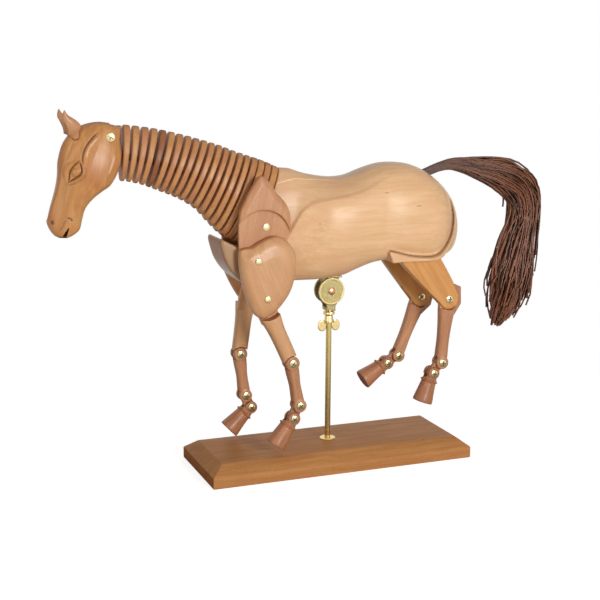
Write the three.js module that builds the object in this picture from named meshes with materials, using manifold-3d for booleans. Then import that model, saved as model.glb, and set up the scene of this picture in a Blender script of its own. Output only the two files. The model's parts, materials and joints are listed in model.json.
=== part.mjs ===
// A jointed wooden horse on a stand: millimetres, +Z up, head towards -X, tail towards +X.
// The origin is the middle of the base's underside. The horse's left side faces -Y.

import * as THREE from 'three';
import { mergeVertices } from 'three/addons/utils/BufferGeometryUtils.js';
import Module from 'manifold-3d';

const wasm = await Module();
wasm.setup();

// Clearances
const seat = 0.3; // between pieces that touch, and round every pin
const swing = 0.4; // round a knuckle that turns in its neighbour

// Stand
const baseLength = 240;
const baseWidth = 90;
const baseEdge = 10; // upright side of the board
const baseRise = 8; // height of the bevel
const baseBevel = 11; // how far the bevel comes in
const rodRadius = 2.5;
const footRingRadius = 7;
const footRingThick = 1.2;
const nutHubRadius = 4;
const nutHubHeight = 7;
const nutSpan = 20.6;
const nutWingDrop = 7.7; // how far the wings hang below the hub
const nutWingThick = 1.8;
const discRadius = 11.5; // the yoke's two cheeks
const discThick = 1.6;
const discRim = 1.6; // width of the raised rim round a cheek
const discRimRise = 0.5;
const tongueThick = 7.6; // bracket tongue between the cheeks
const yokeNeckWidth = 8;
const yokeStemRadius = 4.6;
const yokeDrop = 16; // from the rivet's axis down to the top of the yoke's stem
const yokeStemTall = 5.2;
const rodSocket = 8.2; // how far the rod goes into the yoke
const rivetRadius = 1.8;
const rivetHeadRadius = 3;
const bracketLength = 26;
const bracketWidth = 16;
const bracketPlate = 1.6;
const bellyRecess = 13.9; // ceiling of the bracket's recess above the rivet's axis

// Torso, measured from the rivet's axis
const chestHalf = 19.5; // half thickness of the block between the shoulder blades
const chestClear = 1.4; // from the lowest plate down to the block
const chestReach = 25.9; // how far the block reaches forward under the neck
const barrelHalf = 31;
const bodyReach = 122.5; // back to the end of the rump
const bodyTall = 110; // up to the top of the withers
const haunchHalf = 30.5;
const haunchStep = 1.5;

// Neck, measured from the rivet's axis
const neckRootX = -63.8;
const neckRootZ = 74.6;
const neckLean = 25.2; // degrees from upright of the plates next to the torso
const neckBend = 19.1; // how much more upright the last plate stands
const plateCount = 20;
const bentPlates = 12; // the bend is in these, at the head's end
const platePitch = 6.35;
const plateGap = 1.35;
const tightGap = 0.65;
const tightGaps = 4; // next to the torso
const plateRound = 1;
const coreRadius = 2.4;
const coreFit = 0.7; // room round the core in a plate, which lets it bend
const neckHalfRoot = 36.8; // half height of the plate at the torso
const neckWideHead = 9.5; // half width of the plate at the head
const neckWideRoot = 16.8;

// Head, measured from the poll screw
const pollAlong = 10.4; // from the last gap forward to the screw
const pollUp = 15.1;
const headTilt = 25.6; // degrees from upright of the face
const headWidth = 30;
const headLength = 88.5; // poll screw to muzzle
const headDepth = 29.2; // poll screw forward to the brow
const pollTongue = 8.8;
const pollRadius = 8.2;
const pollPinRadius = 2;

// Forelegs
const bladeTall = 80.5;
const bladeThick = 7.7;
const lapThick = 4.2; // thinned end of the blade, and the forearm's tongue
const bladePivotX = -66.7;
const bladePivotZ = 61;
const bladePinRadius = 2.6;
const shoulderX = -77;
const shoulderZ = 34.5;
const armTall = 68.4;
const armThick = 10.7;
const armDrop = 32.9; // shoulder pin to elbow pin
const armLean = 14.1;
const armPinRadius = 2.3;
const foreLegThick = 13;
const forearmLength = 61.7;
const foreCannonLength = 38.2;
const kneeRadius = 6.2;

// Hind legs
const rumpToHip = 54.5; // from the end of the rump forward to the hip's pin
const hipX = bodyReach - rumpToHip;
const hipZ = 48;
const hindY = 19; // middle plane of the hind leg
const thighThick = 9;
const thighLength = 70;
const hipPinRadius = 2.5;
const hockRadius = 9.3;
const hindLegThick = 11.6;
const hindCannonLength = 57.6;

// Lower legs
const linkThick = 4.4; // pastern link, and the tongues that turn in a fork
const linkLength = 12.4;
const linkRadius = 4.4;
const fetlockRadius = 5.8;
const coffinRadius = 5.6;
const legPinRadius = 1.8;
const hoofLength = 27.5;
const hoofClear = 3.1; // lowest hoof above the board, which sets the rivet's height
const hoofRing = 7.3; // from the pivot down to the turned bead
const hoofRingRadius = 8;
const hoofTop = 6.6;
const hoofSole = 9;

// Tail
const tailBore = 3.4;
const tailDepth = 9;
const tailReach = 197; // back to the rearmost hair
const tailRise = 104; // up to the root
const tailFull = 18; // half breadth of the hanging hair
const tailHalf = 0.62; // thickness of the hair against its breadth

// Pose of the legs: degrees from hanging straight down, positive towards the tail
const pose = {
  left: { arm: 14.1, forearm: 22.4, foreCannon: 10.6, foreLink: -25.3, foreHoof: -35,
    thigh: 32.8, hindCannon: -5.4, hindLink: -42.2, hindHoof: -19.5 },
  right: { arm: 24.6, forearm: -9.9, foreCannon: 7.3, foreLink: 23.9, foreHoof: -46.7,
    thigh: 25.2, hindCannon: -22.3, hindLink: -60.2, hindHoof: -59.4 },
};
// How far each knuckle is relieved to turn either way from straight
const relief = { knee: [-28, 60], fetlock: [-60, 45], coffin: [-85, 60], hock: [-80, 8] };
const thighSweep = [3, 42]; // directions of the thigh that the haunch slot makes room for

const rad = THREE.MathUtils.degToRad;

// How far a leg reaches down: its first pin, then each piece's length and direction, and the sole's
// lower corner.
function legReach(top, pieces, toe) {
  const pinDrop = pieces.reduce((sum, [length, degrees]) => sum + length * Math.cos(rad(degrees)), -top);
  return pinDrop + hoofLength * Math.cos(rad(toe)) + hoofSole * Math.abs(Math.sin(rad(toe)));
}

const reachOf = (a) => Math.max(
  legReach(shoulderZ, [[armDrop, a.arm], [forearmLength, a.forearm], [foreCannonLength, a.foreCannon],
    [linkLength, a.foreLink]], a.foreHoof),
  legReach(hipZ, [[thighLength, a.thigh], [hindCannonLength, a.hindCannon], [linkLength, a.hindLink]],
  a.hindHoof));
const baseTop = baseEdge + baseRise;
const pivotHeight = baseTop + hoofClear + Math.max(reachOf(pose.left), reachOf(pose.right));
const stemFoot = -yokeDrop - yokeStemTall; // below the rivet's axis
const rodTop = pivotHeight + stemFoot + rodSocket;
const nutHeight = pivotHeight + stemFoot - seat - nutHubHeight / 2; // middle of the wing nut's hub
const wood = (color) => new THREE.MeshStandardMaterial({ color, roughness: 0.45, metalness: 0 });
const metal = (color) => new THREE.MeshStandardMaterial({ color, roughness: 0.3, metalness: 1 });
const honeyMaple = wood(0xd9a56e);
const pinkMaple = wood(0xcf9a72);
const darkMaple = wood(0xa8683f);
const legMaple = wood(0xc08552);
const boardBeech = wood(0xc78a4c);
const brass = metal(0xc9a24a);
const copper = metal(0xb87350);
const steel = metal(0x8d8f92);
const horsehair = new THREE.MeshStandardMaterial({ color: 0x4a2c20, roughness: 0.6, metalness: 0 });

// Solids

function solidOf(geometry) {
  const bare = geometry.clone();
  bare.deleteAttribute('normal');
  bare.deleteAttribute('uv');
  const merged = mergeVertices(bare, 1e-4);
  return new wasm.Manifold(new wasm.Mesh({
    numProp: 3,
    vertProperties: new Float32Array(merged.attributes.position.array),
    triVerts: new Uint32Array(merged.index.array),
  }));
}

function geometryOf(solid) {
  const mesh = solid.getMesh();
  const geometry = new THREE.BufferGeometry();
  geometry.setAttribute('position', new THREE.BufferAttribute(new Float32Array(mesh.vertProperties), 3));
  geometry.setIndex(new THREE.BufferAttribute(new Uint32Array(mesh.triVerts), 1));
  geometry.computeVertexNormals();
  return geometry;
}

const cut = (body, ...tools) => tools.reduce((rest, tool) => rest.subtract(solidOf(tool)), body);
const join = (body, ...more) => more.reduce((sum, piece) => sum.add(solidOf(piece)), body);

// A closed skin over rings of equal count, with a point in the middle of each end.
function skin(rings) {
  const count = rings[0].length;
  const points = rings.flat();
  const faces = [];
  for (let r = 0; r + 1 < rings.length; r++) {
    for (let i = 0; i < count; i++) {
      const a = r * count + i;
      const b = r * count + ((i + 1) % count);
      faces.push(a, b, b + count, a, b + count, a + count);
    }
  }
  const middle = (ring) => ring.reduce((sum, p) => sum.add(p), new THREE.Vector3()).divideScalar(count);
  points.push(middle(rings[0]), middle(rings[rings.length - 1]));
  const last = (rings.length - 1) * count;
  for (let i = 0; i < count; i++) {
    const j = (i + 1) % count;
    faces.push(points.length - 2, j, i, points.length - 1, last + i, last + j);
  }
  return facingOut(points, faces);
}

// A closed skin over rings, with an opening through both ends that has half as many points.
function pierced(rings, first, last) {
  const count = rings[0].length;
  const half = first.length;
  const points = [...rings.flat(), ...first, ...last];
  const faces = [];
  const quad = (a, b, c, d) => faces.push(a, b, c, a, c, d);
  for (let r = 0; r + 1 < rings.length; r++) {
    for (let i = 0; i < count; i++) {
      const j = (i + 1) % count;
      quad(r * count + i, r * count + j, (r + 1) * count + j, (r + 1) * count + i);
    }
  }
  const end = (rings.length - 1) * count;
  const near = rings.length * count;
  const far = near + half;
  for (let i = 0; i < half; i++) {
    const j = (i + 1) % half;
    const [a, b, c] = [2 * i, 2 * i + 1, (2 * i + 2) % count];
    faces.push(near + i, b, a, near + i, near + j, b, near + j, c, b);
    faces.push(far + i, end + a, end + b, far + i, end + b, far + j, far + j, end + b, end + c);
    quad(near + i, far + i, far + j, near + j);
  }
  return facingOut(points, faces);
}

function facingOut(points, faces) {
  let volume = 0;
  for (let f = 0; f < faces.length; f += 3) {
    const [a, b, c] = [points[faces[f]], points[faces[f + 1]], points[faces[f + 2]]];
    volume += a.dot(new THREE.Vector3().crossVectors(b, c));
  }
  if (volume < 0) faces.reverse();
  const geometry = new THREE.BufferGeometry().setFromPoints(points);
  geometry.setIndex(faces);
  return geometry;
}

function mirrored(geometry) {
  const copy = geometry.clone();
  copy.scale(1, -1, 1);
  const faces = Array.from(copy.index.array).reverse();
  copy.setIndex(faces);
  copy.computeVertexNormals();
  return copy;
}

const flat = (x, z) => new THREE.Vector2(x, z);

// An outline in X and Z given a thickness from y0 to y1.
function slab(outline, y0, y1) {
  const shape = new THREE.Shape(outline);
  const geometry = new THREE.ExtrudeGeometry(shape, { depth: y1 - y0, bevelEnabled: false });
  geometry.rotateX(Math.PI / 2);
  geometry.translate(0, y1, 0);
  return geometry;
}

function block(x0, x1, y0, y1, z0, z1) {
  const geometry = new THREE.BoxGeometry(x1 - x0, y1 - y0, z1 - z0);
  geometry.translate((x0 + x1) / 2, (y0 + y1) / 2, (z0 + z1) / 2);
  return geometry;
}

function pin(radius, y0, y1, x = 0, z = 0, sides = 10) {
  const geometry = new THREE.CylinderGeometry(radius, radius, y1 - y0, sides);
  geometry.translate(x, (y0 + y1) / 2, z);
  return geometry;
}

// A closed smooth outline through a few points of X and Z.
function rounded(points, count) {
  const curve = new THREE.CatmullRomCurve3(points.map(([x, z]) => new THREE.Vector3(x, 0, z)), true);
  return curve.getSpacedPoints(count).slice(0, count).map((p) => flat(p.x, p.z));
}

function arc(x, z, radius, from, to, count) {
  const points = [];
  for (let i = 0; i <= count; i++) {
    const angle = rad(from + ((to - from) * i) / count);
    points.push(flat(x + radius * Math.cos(angle), z + radius * Math.sin(angle)));
  }
  return points;
}

// An outline with a crowned outer face: each layer is a y and a share of the outline's size.
function crowned(outline, centre, layers) {
  return skin(layers.map(([y, size]) => outline.map((p) => new THREE.Vector3(
    centre.x + (p.x - centre.x) * size, y, centre.y + (p.y - centre.y) * size))));
}

// Pairs given as shares of a length and of a height.
const scaled = (pairs, long, tall) => pairs.map(([x, z]) => [x * long, z * tall]);

// A value that runs smoothly through [place, value] pairs.
function line(pairs) {
  return (x) => {
    const last = pairs.length - 1;
    if (x <= pairs[0][0]) return pairs[0][1];
    if (x >= pairs[last][0]) return pairs[last][1];
    const k = pairs.findIndex((pair) => pair[0] > x) - 1;
    const at = (i) => pairs[Math.min(Math.max(i, 0), last)];
    const slope = (i) => (at(i + 1)[1] - at(i - 1)[1]) / (at(i + 1)[0] - at(i - 1)[0]);
    const [x0, v0] = at(k);
    const [x1, v1] = at(k + 1);
    const w = x1 - x0;
    const t = (x - x0) / w;
    return v0 * (1 + 2 * t) * (1 - t) ** 2 + slope(k) * w * t * (1 - t) ** 2
      + v1 * t * t * (3 - 2 * t) + slope(k + 1) * w * t * t * (t - 1);
  };
}

const bend = (value, power) => Math.sign(value) * Math.abs(value) ** (2 / power);

// A limb along -Z: stations of depth, forward shift, half breadth and half thickness.
function limb(stations, sides = 10, power = 2.6) {
  return skin(stations.map(([depth, shift, breadth, thickness]) => {
    const ring = [];
    for (let i = 0; i < sides; i++) {
      const a = (2 * Math.PI * i) / sides;
      ring.push(new THREE.Vector3(
        shift + breadth * bend(Math.cos(a), power), thickness * bend(Math.sin(a), power), -depth));
    }
    return ring;
  }));
}

// The space that a round-ended neighbour of this radius sweeps, hanging below the pivot at z.
function sweptBelow(radius, [low, high], z = 0, reach = 30) {
  const from = rad(high);
  const to = Math.PI - rad(-low);
  const points = [];
  for (let i = 0; i <= 8; i++) {
    const a = from + ((to - from) * i) / 8;
    points.push(flat(radius * Math.cos(a), z + radius * Math.sin(a)));
  }
  const right = points[0];
  const left = points[8];
  points.unshift(flat(right.x + reach * Math.sin(from), right.y - reach * Math.cos(from)));
  points.push(flat(left.x - reach * Math.sin(to), left.y + reach * Math.cos(to)));
  return points;
}

const upended = (points) => points.map((p) => flat(p.x, -p.y));

function turned(points, degrees) {
  const c = Math.cos(rad(degrees));
  const s = Math.sin(rad(degrees));
  return points.map((p) => flat(p.x * c - p.y * s, p.x * s + p.y * c));
}

const moved = (points, x, z) => points.map((p) => flat(p.x + x, p.y + z));

// Scene graph helpers

const model = new THREE.Group();

function add(parent, name, geometry, material) {
  const mesh = new THREE.Mesh(geometry, material.clone());
  mesh.name = name;
  parent.add(mesh);
  return mesh;
}

function pivot(parent, name, x, y, z, degrees = 0) {
  const group = new THREE.Group();
  group.name = name;
  group.position.set(x, y, z);
  group.rotation.y = -rad(degrees);
  parent.add(group);
  return group;
}

// Stand

function baseBoard() {
  const ring = (inset, z) => [[-1, -1], [1, -1], [1, 1], [-1, 1]].map(([sx, sy]) =>
    new THREE.Vector3(sx * (baseLength / 2 - inset), sy * (baseWidth / 2 - inset), z));
  const board = solidOf(skin([ring(0, 0), ring(0, baseEdge), ring(baseBevel, baseTop)]));
  const socket = new THREE.CylinderGeometry(rodRadius + seat, rodRadius + seat, baseEdge * 2, 16);
  socket.rotateX(Math.PI / 2);
  socket.translate(0, 0, baseTop);
  return geometryOf(cut(board, socket));
}

function turnedProfile(points, sides) {
  const geometry = new THREE.LatheGeometry(points, sides);
  geometry.rotateX(Math.PI / 2);
  return geometry;
}

function standRod() {
  const foot = baseTop - baseEdge + seat;
  return turnedProfile([flat(0, foot), flat(rodRadius, foot), flat(rodRadius, rodTop - 0.6),
    flat(rodRadius - 0.6, rodTop), flat(0, rodTop)], 16);
}

function footRing() {
  const bore = rodRadius + seat;
  const low = baseTop + seat;
  const top = low + footRingThick;
  return turnedProfile([flat(bore, low), flat(footRingRadius, low), flat(footRingRadius, top - 0.5),
    flat(footRingRadius - 0.8, top), flat(bore, top), flat(bore, low)], 20);
}

function wingNut() {
  const low = nutHeight - nutHubHeight / 2;
  const top = nutHeight + nutHubHeight / 2;
  const flange = nutHubRadius + 0.6;
  const hub = solidOf(turnedProfile([flat(0, low), flat(flange, low), flat(flange, low + 1.5),
    flat(nutHubRadius - 0.4, top - 1), flat(nutHubRadius - 1, top), flat(0, top)], 12));
  const tip = nutSpan / 2;
  const drop = nutWingDrop;
  const inner = rodRadius + seat + 0.6;
  const wingOutline = [[inner - 0.3, top - 1.4], [tip - 4.6, low + 2.6], [tip - 1.4, low - 0.1 * drop],
    [tip, low - 0.45 * drop], [tip - 1.2, low - 0.86 * drop], [tip - 4, low - drop],
    [inner + 0.5, low - 0.7 * drop],
    [inner, low - 0.2 * drop], [inner - 0.3, low + 1]];
  const wing = (side) => slab(rounded(wingOutline.map(([x, z]) => [side * x, z]), 14),
    -nutWingThick / 2, nutWingThick / 2);
  const bore = new THREE.CylinderGeometry(rodRadius + seat, rodRadius + seat, nutHubHeight * 3, 12);
  bore.rotateX(Math.PI / 2);
  bore.translate(0, 0, nutHeight);
  return geometryOf(cut(join(hub, wing(1), wing(-1)), bore));
}

// The yoke and everything above it are measured from the rivet's axis.

const cheekIn = tongueThick / 2 + seat;
const cheekOut = cheekIn + discThick;

function cheek() {
  const face = cheekOut;
  const profile = [flat(0, cheekIn), flat(discRadius, cheekIn), flat(discRadius, face + discRimRise),
    flat(discRadius - discRim, face + discRimRise), flat(discRadius - discRim - 0.4, face), flat(0, face)];
  return new THREE.LatheGeometry(profile, 16);
}

function swivelYoke() {
  const half = yokeNeckWidth / 2;
  const low = -yokeDrop - 1;
  const shoulder = -0.78 * discRadius;
  const neck = [flat(-half, low), flat(half, low), flat(half + 2.5, shoulder), flat(-half - 2.5, shoulder)];
  let yoke = solidOf(cheek());
  yoke = join(yoke, mirrored(cheek()), slab(neck, cheekIn, cheekOut), slab(neck, -cheekOut, -cheekIn));
  yoke = join(yoke, block(-half, half, -cheekOut, cheekOut, low - 0.5, low + 2.4));
  const stem = turnedProfile([flat(0, stemFoot), flat(yokeStemRadius + 0.7, stemFoot),
    flat(yokeStemRadius + 0.7, stemFoot + 2.4), flat(yokeStemRadius - 0.6, stemFoot + 3.2),
    flat(yokeStemRadius - 0.6, -yokeDrop), flat(0, -yokeDrop)], 12);
  const bore = new THREE.CylinderGeometry(rodRadius + seat, rodRadius + seat, 30, 12);
  bore.rotateX(Math.PI / 2);
  bore.translate(0, 0, stemFoot + rodSocket + seat - 15);
  const rivetHole = pin(rivetRadius + seat, -20, 20);
  return geometryOf(cut(join(yoke, stem), bore, rivetHole));
}

function pivotRivet() {
  const face = cheekOut + seat;
  const head = face + 1.3;
  const rim = rivetHeadRadius;
  return new THREE.LatheGeometry([flat(0, -head), flat(rim - 1, -head), flat(rim, -face - 0.4),
    flat(rim, -face),
    flat(rivetRadius, -face), flat(rivetRadius, face), flat(rim, face), flat(rim, face + 0.4),
    flat(rim - 1, head),
    flat(0, head)], 12);
}

const bracketTop = bellyRecess - seat;

function bellyBracket() {
  const plate = solidOf(block(-bracketLength / 2, bracketLength / 2, -bracketWidth / 2, bracketWidth / 2,
    bracketTop - bracketPlate, bracketTop));
  const half = tongueThick / 2;
  const outline = [flat(-8, bracketTop - 1), ...arc(0, 0, 7, 180, 360, 10), flat(8, bracketTop - 1)];
  return geometryOf(cut(join(plate, slab(outline, -half, half)),
    pin(rivetRadius + seat, -half - 1, half + 1)));
}

// Torso: a skin over stations along X

const backLine = line(scaled([[-0.3837, 1], [-0.2204, 0.9364], [-0.098, 0.9082], [0.0082, 0.8964],
  [0.1224, 0.9082], [0.2367, 0.9518], [0.3592, 0.99], [0.4735, 0.9964], [0.5959, 0.9773],
  [0.7184, 0.9191], [0.8245, 0.8355], [0.9143, 0.7282], [0.9714, 0.6091], [1, 0.5]], bodyReach, bodyTall));
const bellyLine = line(scaled([[-0.3837, 0.1018], [-0.2204, 0.0991], [-0.0571, 0.0982],
  [0.0816, 0.1182], [0.1714, 0.1564], [0.2939, 0.21], [0.4082, 0.2509], [0.4898, 0.2455],
  [0.8163, 0.2455], [0.9143, 0.2591], [0.9714, 0.3091], [1, 0.3818]], bodyReach, bodyTall));
const flankLine = line(scaled([[-0.3837, chestHalf - seat], [-0.3102, chestHalf * 1.062],
  [-0.2204, barrelHalf * 0.774], [-0.0816, barrelHalf * 0.948], [0.0653, barrelHalf],
  [0.2286, barrelHalf * 0.974], [0.3592, haunchHalf * 0.951], [0.5224, haunchHalf * 0.951],
  [0.6857, haunchHalf * 0.934], [0.8, haunchHalf * 0.836], [0.8898, haunchHalf * 0.639],
  [0.9469, haunchHalf * 0.426], [0.9837, haunchHalf * 0.213], [1, haunchHalf * 0.098]], bodyReach, 1));
const widestLine = line(scaled([[-0.3837, 0.5273], [-0.0816, 0.5273], [0.2449, 0.5455],
  [0.5714, 0.5273], [0.898, 0.4909], [1, 0.4545]], bodyReach, bodyTall));
const fullnessAbove = line(scaled([[-0.3837, 2.1], [0, 2.3], [0.3265, 2.5], [0.6122, 2.3], [1, 2]],
  bodyReach, 1));
const fullnessBelow = line(scaled([[-0.3837, 2.6], [0, 2.1], [0.2939, 2.6], [0.4082, 5], [0.7755, 5],
  [0.9143, 3], [1, 2]], bodyReach, 1));
const domeStart = 0.28 * bodyReach;
const domeGrow = line(scaled([[0.33, 0], [0.51, 1], [0.82, 1], [1, 1]], bodyReach, haunchStep));

function torsoRing(x, proud = 0, sides = 16) {
  const ring = [];
  const middle = widestLine(x);
  for (let i = 0; i < sides; i++) {
    const a = (2 * Math.PI * i) / sides;
    const power = Math.sin(a) > 0 ? fullnessAbove(x) : fullnessBelow(x);
    const reach = Math.sin(a) > 0 ? backLine(x) - middle : middle - bellyLine(x);
    ring.push(new THREE.Vector3(x, (flankLine(x) + proud) * bend(Math.cos(a), power),
      middle + reach * bend(Math.sin(a), power)));
  }
  return ring;
}

const neckNormal = (lean) => flat(Math.cos(rad(lean)), -Math.sin(rad(lean)));
const neckUp = (lean) => flat(Math.sin(rad(lean)), Math.cos(rad(lean)));

// The withers: rings that turn from the leaning face of the neck to the upright stations of the barrel.
function withersRings(sides = 16) {
  const face = plateRing(plateCount, tightGap / 2, 0, sides);
  const barrel = torsoRing(-0.3102 * bodyReach, 0, sides);
  return [0, 0.35, 0.7].map((t) => face.map((p, i) => p.clone().lerp(barrel[i], t)));
}

// The chest block fills the breast between the shoulder blades and reaches forward under the neck.
function chestBlock() {
  const up = neckUp(neckLean);
  const normal = neckNormal(neckLean);
  const under = neckHalfRoot + chestClear;
  const foot = flat(neckRootX - up.x * under, neckRootZ - up.y * under);
  const inner = flat(neckRootX + normal.x * 1.5 + up.x * 8, neckRootZ + normal.y * 1.5 + up.y * 8);
  const tip = flat(foot.x - normal.x * chestReach + up.x, foot.y - normal.y * chestReach + up.y);
  const outline = [foot, flat(foot.x + normal.x * 1.5 + up.x * 1.5, foot.y + normal.y * 1.5 + up.y * 1.5),
    inner,
    flat(-41, 66), flat(-41, 12), flat(-64, 10.2), flat(-78, 10.5), flat(-90.4, 19.3), flat(-98.8, 30.6),
    flat(-102.4, 40.5), flat(tip.x - 1.3, tip.y - 3.6), tip];
  return crowned(outline, flat(-66, 32), [[-chestHalf, 0.94], [-chestHalf + 2, 1], [chestHalf - 2, 1],
    [chestHalf, 0.94]]);
}

// The domes of the haunches stand proud of the rump, and end in a step above a lip.
const domeOutline = scaled([[0.3265, 0.5455], [0.3641, 0.3145], [0.5429, 0.2845], [0.689, 0.2709],
  [0.751, 0.2836], [0.8041, 0.3318], [0.8441, 0.3909], [0.8669, 0.4545], [0.8718, 0.5455],
  [0.8596, 0.6573], [0.8163, 0.7727], [0.7347, 0.8909], [0.6531, 1.0909], [0.3265, 1.0909]], bodyReach,
  bodyTall)
  .map(([x, z]) => flat(x, z));

const thighOutline = [...arc(-4, 0, 17, 60, 175, 5), flat(-21, -16), flat(-13.4, -52),
  flat(-10, -thighLength + 4),
  ...arc(0, -thighLength, hockRadius, 200, 345, 6), flat(11.2, -thighLength + 12), flat(12, -34),
  flat(12.5, -6)];

// The space that the thigh board passes through as it swings: its round top, its front edge at the
// foremost direction and its rear edge at the rearmost.
function thighSlot(side) {
  const room = 0.7;
  const front = turned([flat(-21 - room, 0), flat(-21 - room, -20), flat(-21 - room, -60)], thighSweep[0]);
  const rear = turned([flat(12.5 + room, -2), flat(12.5 + room, -70)], thighSweep[1]);
  const outline = [front[2], front[1], front[0], ...arc(-4, 0, 17 + room, 172, 60, 5), ...rear];
  const middle = side * hindY;
  const half = thighThick / 2 + swing;
  return slab(moved(outline, hipX, hipZ), middle - half, middle + half);
}

const foreInner = chestHalf + seat; // inner face of the blade, and of the foreleg
const armInner = foreInner + lapThick + seat;

const tailRoot = new THREE.Vector3(90, 0, 99);
const tailAim = new THREE.Vector3(0.93, 0, 0.36).normalize();

function rodAlong(radius, from, to, sides) {
  const geometry = new THREE.CylinderGeometry(radius, radius, from.distanceTo(to), sides);
  const aim = to.clone().sub(from).normalize();
  geometry.applyQuaternion(new THREE.Quaternion().setFromUnitVectors(new THREE.Vector3(0, 1, 0), aim));
  geometry.translate((from.x + to.x) / 2, (from.y + to.y) / 2, (from.z + to.z) / 2);
  return geometry;
}

function torso() {
  const stations = [-0.3102, -0.2204, -0.1224, -0.0163, 0.0898, 0.1959, 0.2939, 0.3837, 0.4735, 0.5878,
    0.702, 0.8, 0.8735, 0.9306, 0.9673, 0.9902, 1]
    .map((share) => share * bodyReach);
  const proud = stations.filter((x) => x > domeStart);
  const domes = solidOf(skin(proud.map((x) => torsoRing(x, domeGrow(x)))))
    .intersect(solidOf(slab(domeOutline, -barrelHalf - 5, barrelHalf + 5)));
  let body = solidOf(skin([...withersRings(), ...stations.map((x) => torsoRing(x))]));
  body = join(body, chestBlock()).add(domes);
  for (const side of [1, -1]) {
    const hipPin = pin(hipPinRadius + seat, 9, 28.5, hipX, hipZ);
    const bladePin = pin(bladePinRadius + seat, 8, 40, bladePivotX, bladePivotZ);
    body = cut(body, thighSlot(side), ...[hipPin, bladePin].map((p) => (side > 0 ? p : mirrored(p))));
  }
  body = cut(body, block(-bracketLength / 2 - seat, bracketLength / 2 + seat, -bracketWidth / 2 - seat,
    bracketWidth / 2 + seat, 0, bellyRecess));
  const boreEnd = tailRoot.clone().addScaledVector(tailAim, -tailDepth);
  body = cut(body, rodAlong(tailBore + seat, boreEnd, tailRoot.clone().addScaledVector(tailAim, 12), 12));
  const normal = neckNormal(neckLean);
  const inside = new THREE.Vector3(neckRootX + normal.x * 8, 0, neckRootZ + normal.y * 8);
  const outside = new THREE.Vector3(neckRootX - normal.x * 30, 0, neckRootZ - normal.y * 30);
  return geometryOf(cut(body, rodAlong(coreRadius + seat, inside, outside, 8)));
}

// Neck: gap k lies on the head's side of plate k+1 and behind plate k; gap 20 is at the torso.

const leanAt = (k) => neckLean - neckBend * (Math.max(0, bentPlates + 1 - k) / bentPlates) ** 2;
const gapSize = (k) => (k > plateCount - tightGaps ? tightGap : plateGap);

function neckGaps() {
  const gaps = [];
  let point = flat(neckRootX, neckRootZ);
  for (let k = plateCount; k >= 0; k--) {
    const lean = k === plateCount ? neckLean : (leanAt(k) + leanAt(k + 1)) / 2;
    gaps[k] = { point: point.clone(), lean, size: gapSize(k) };
    point = point.clone().addScaledVector(neckNormal(leanAt(k)), -platePitch);
  }
  return gaps;
}

const gaps = neckGaps();
const neckShare = (k) => k / plateCount; // 0 at the head, 1 at the torso
// Heights of the crest above the core and of the keel below it, as shares of the height at the torso.
const crestLine = line(scaled([[0, 0.693], [0.1, 0.696], [0.2, 0.726], [0.3, 0.758], [0.4, 0.807],
  [0.5, 0.851],
  [0.6, 0.894], [0.7, 0.916], [0.8, 0.959], [0.9, 0.989], [1, 1]], 1, neckHalfRoot));
const keelLine = line(scaled([[0, 0.527], [0.1, 0.53], [0.2, 0.543], [0.3, 0.565], [0.4, 0.568],
  [0.5, 0.582],
  [0.6, 0.641], [0.7, 0.783], [0.8, 0.913], [0.9, 0.973], [1, 1]], 1, neckHalfRoot));
const halfWidth = (k) => neckWideHead + (neckWideRoot - neckWideHead) * neckShare(k) ** 1.2;

// One ring of a plate in the plane of gap k, moved along the neck and drawn in by an inset.
function plateRing(k, along, inset, sides = 14) {
  const { point, lean } = gaps[k];
  const normal = neckNormal(lean);
  const up = neckUp(lean);
  const crest = crestLine(neckShare(k));
  const keel = keelLine(neckShare(k));
  const tall = (crest + keel) / 2 - inset;
  const lift = (crest - keel) / 2;
  const wide = halfWidth(k) - inset;
  const ring = [];
  for (let i = 0; i < sides; i++) {
    const a = (2 * Math.PI * i) / sides;
    const height = lift + tall * bend(Math.sin(a), 2.1);
    const narrow = 1 - 0.18 * Math.max(0, Math.sin(a));
    const x = point.x + normal.x * along + up.x * height;
    const z = point.y + normal.y * along + up.y * height;
    ring.push(new THREE.Vector3(x, wide * narrow * bend(Math.cos(a), 2.2), z));
  }
  return ring;
}

function holeRing(k, along, radius, sides = 7) {
  const { point, lean } = gaps[k];
  const normal = neckNormal(lean);
  const up = neckUp(lean);
  return Array.from({ length: sides }, (_, i) => {
    const a = (2 * Math.PI * i) / sides;
    return new THREE.Vector3(point.x + normal.x * along + up.x * radius * Math.sin(a), radius * Math.cos(a),
      point.y + normal.y * along + up.y * radius * Math.sin(a));
  });
}

function neckPlate(k) {
  const front = gaps[k - 1].size / 2;
  const back = -gaps[k].size / 2;
  const hole = coreRadius + coreFit;
  return pierced([plateRing(k - 1, front, plateRound), plateRing(k - 1, front + plateRound, 0),
    plateRing(k, back - plateRound, 0), plateRing(k, back, plateRound)],
  holeRing(k - 1, front, hole), holeRing(k, back, hole));
}

function neckCore() {
  const points = gaps.map((gap) => new THREE.Vector3(gap.point.x, 0, gap.point.y));
  const first = neckNormal(gaps[0].lean);
  const last = neckNormal(gaps[plateCount].lean);
  points.unshift(new THREE.Vector3(points[0].x - first.x * 3.5, 0, points[0].z - first.y * 3.5));
  const end = points[points.length - 1];
  points.push(new THREE.Vector3(end.x + last.x * (8 - seat), 0, end.z + last.y * (8 - seat)));
  const section = new THREE.Shape(arc(0, 0, coreRadius, 0, 360, 6).slice(0, 6));
  return new THREE.ExtrudeGeometry(section,
    { steps: 20, bevelEnabled: false, extrudePath: new THREE.CatmullRomCurve3(points) });
}

// Head block: a slice with a tongue that holds the poll screw. The screw's axis is the origin.

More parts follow.
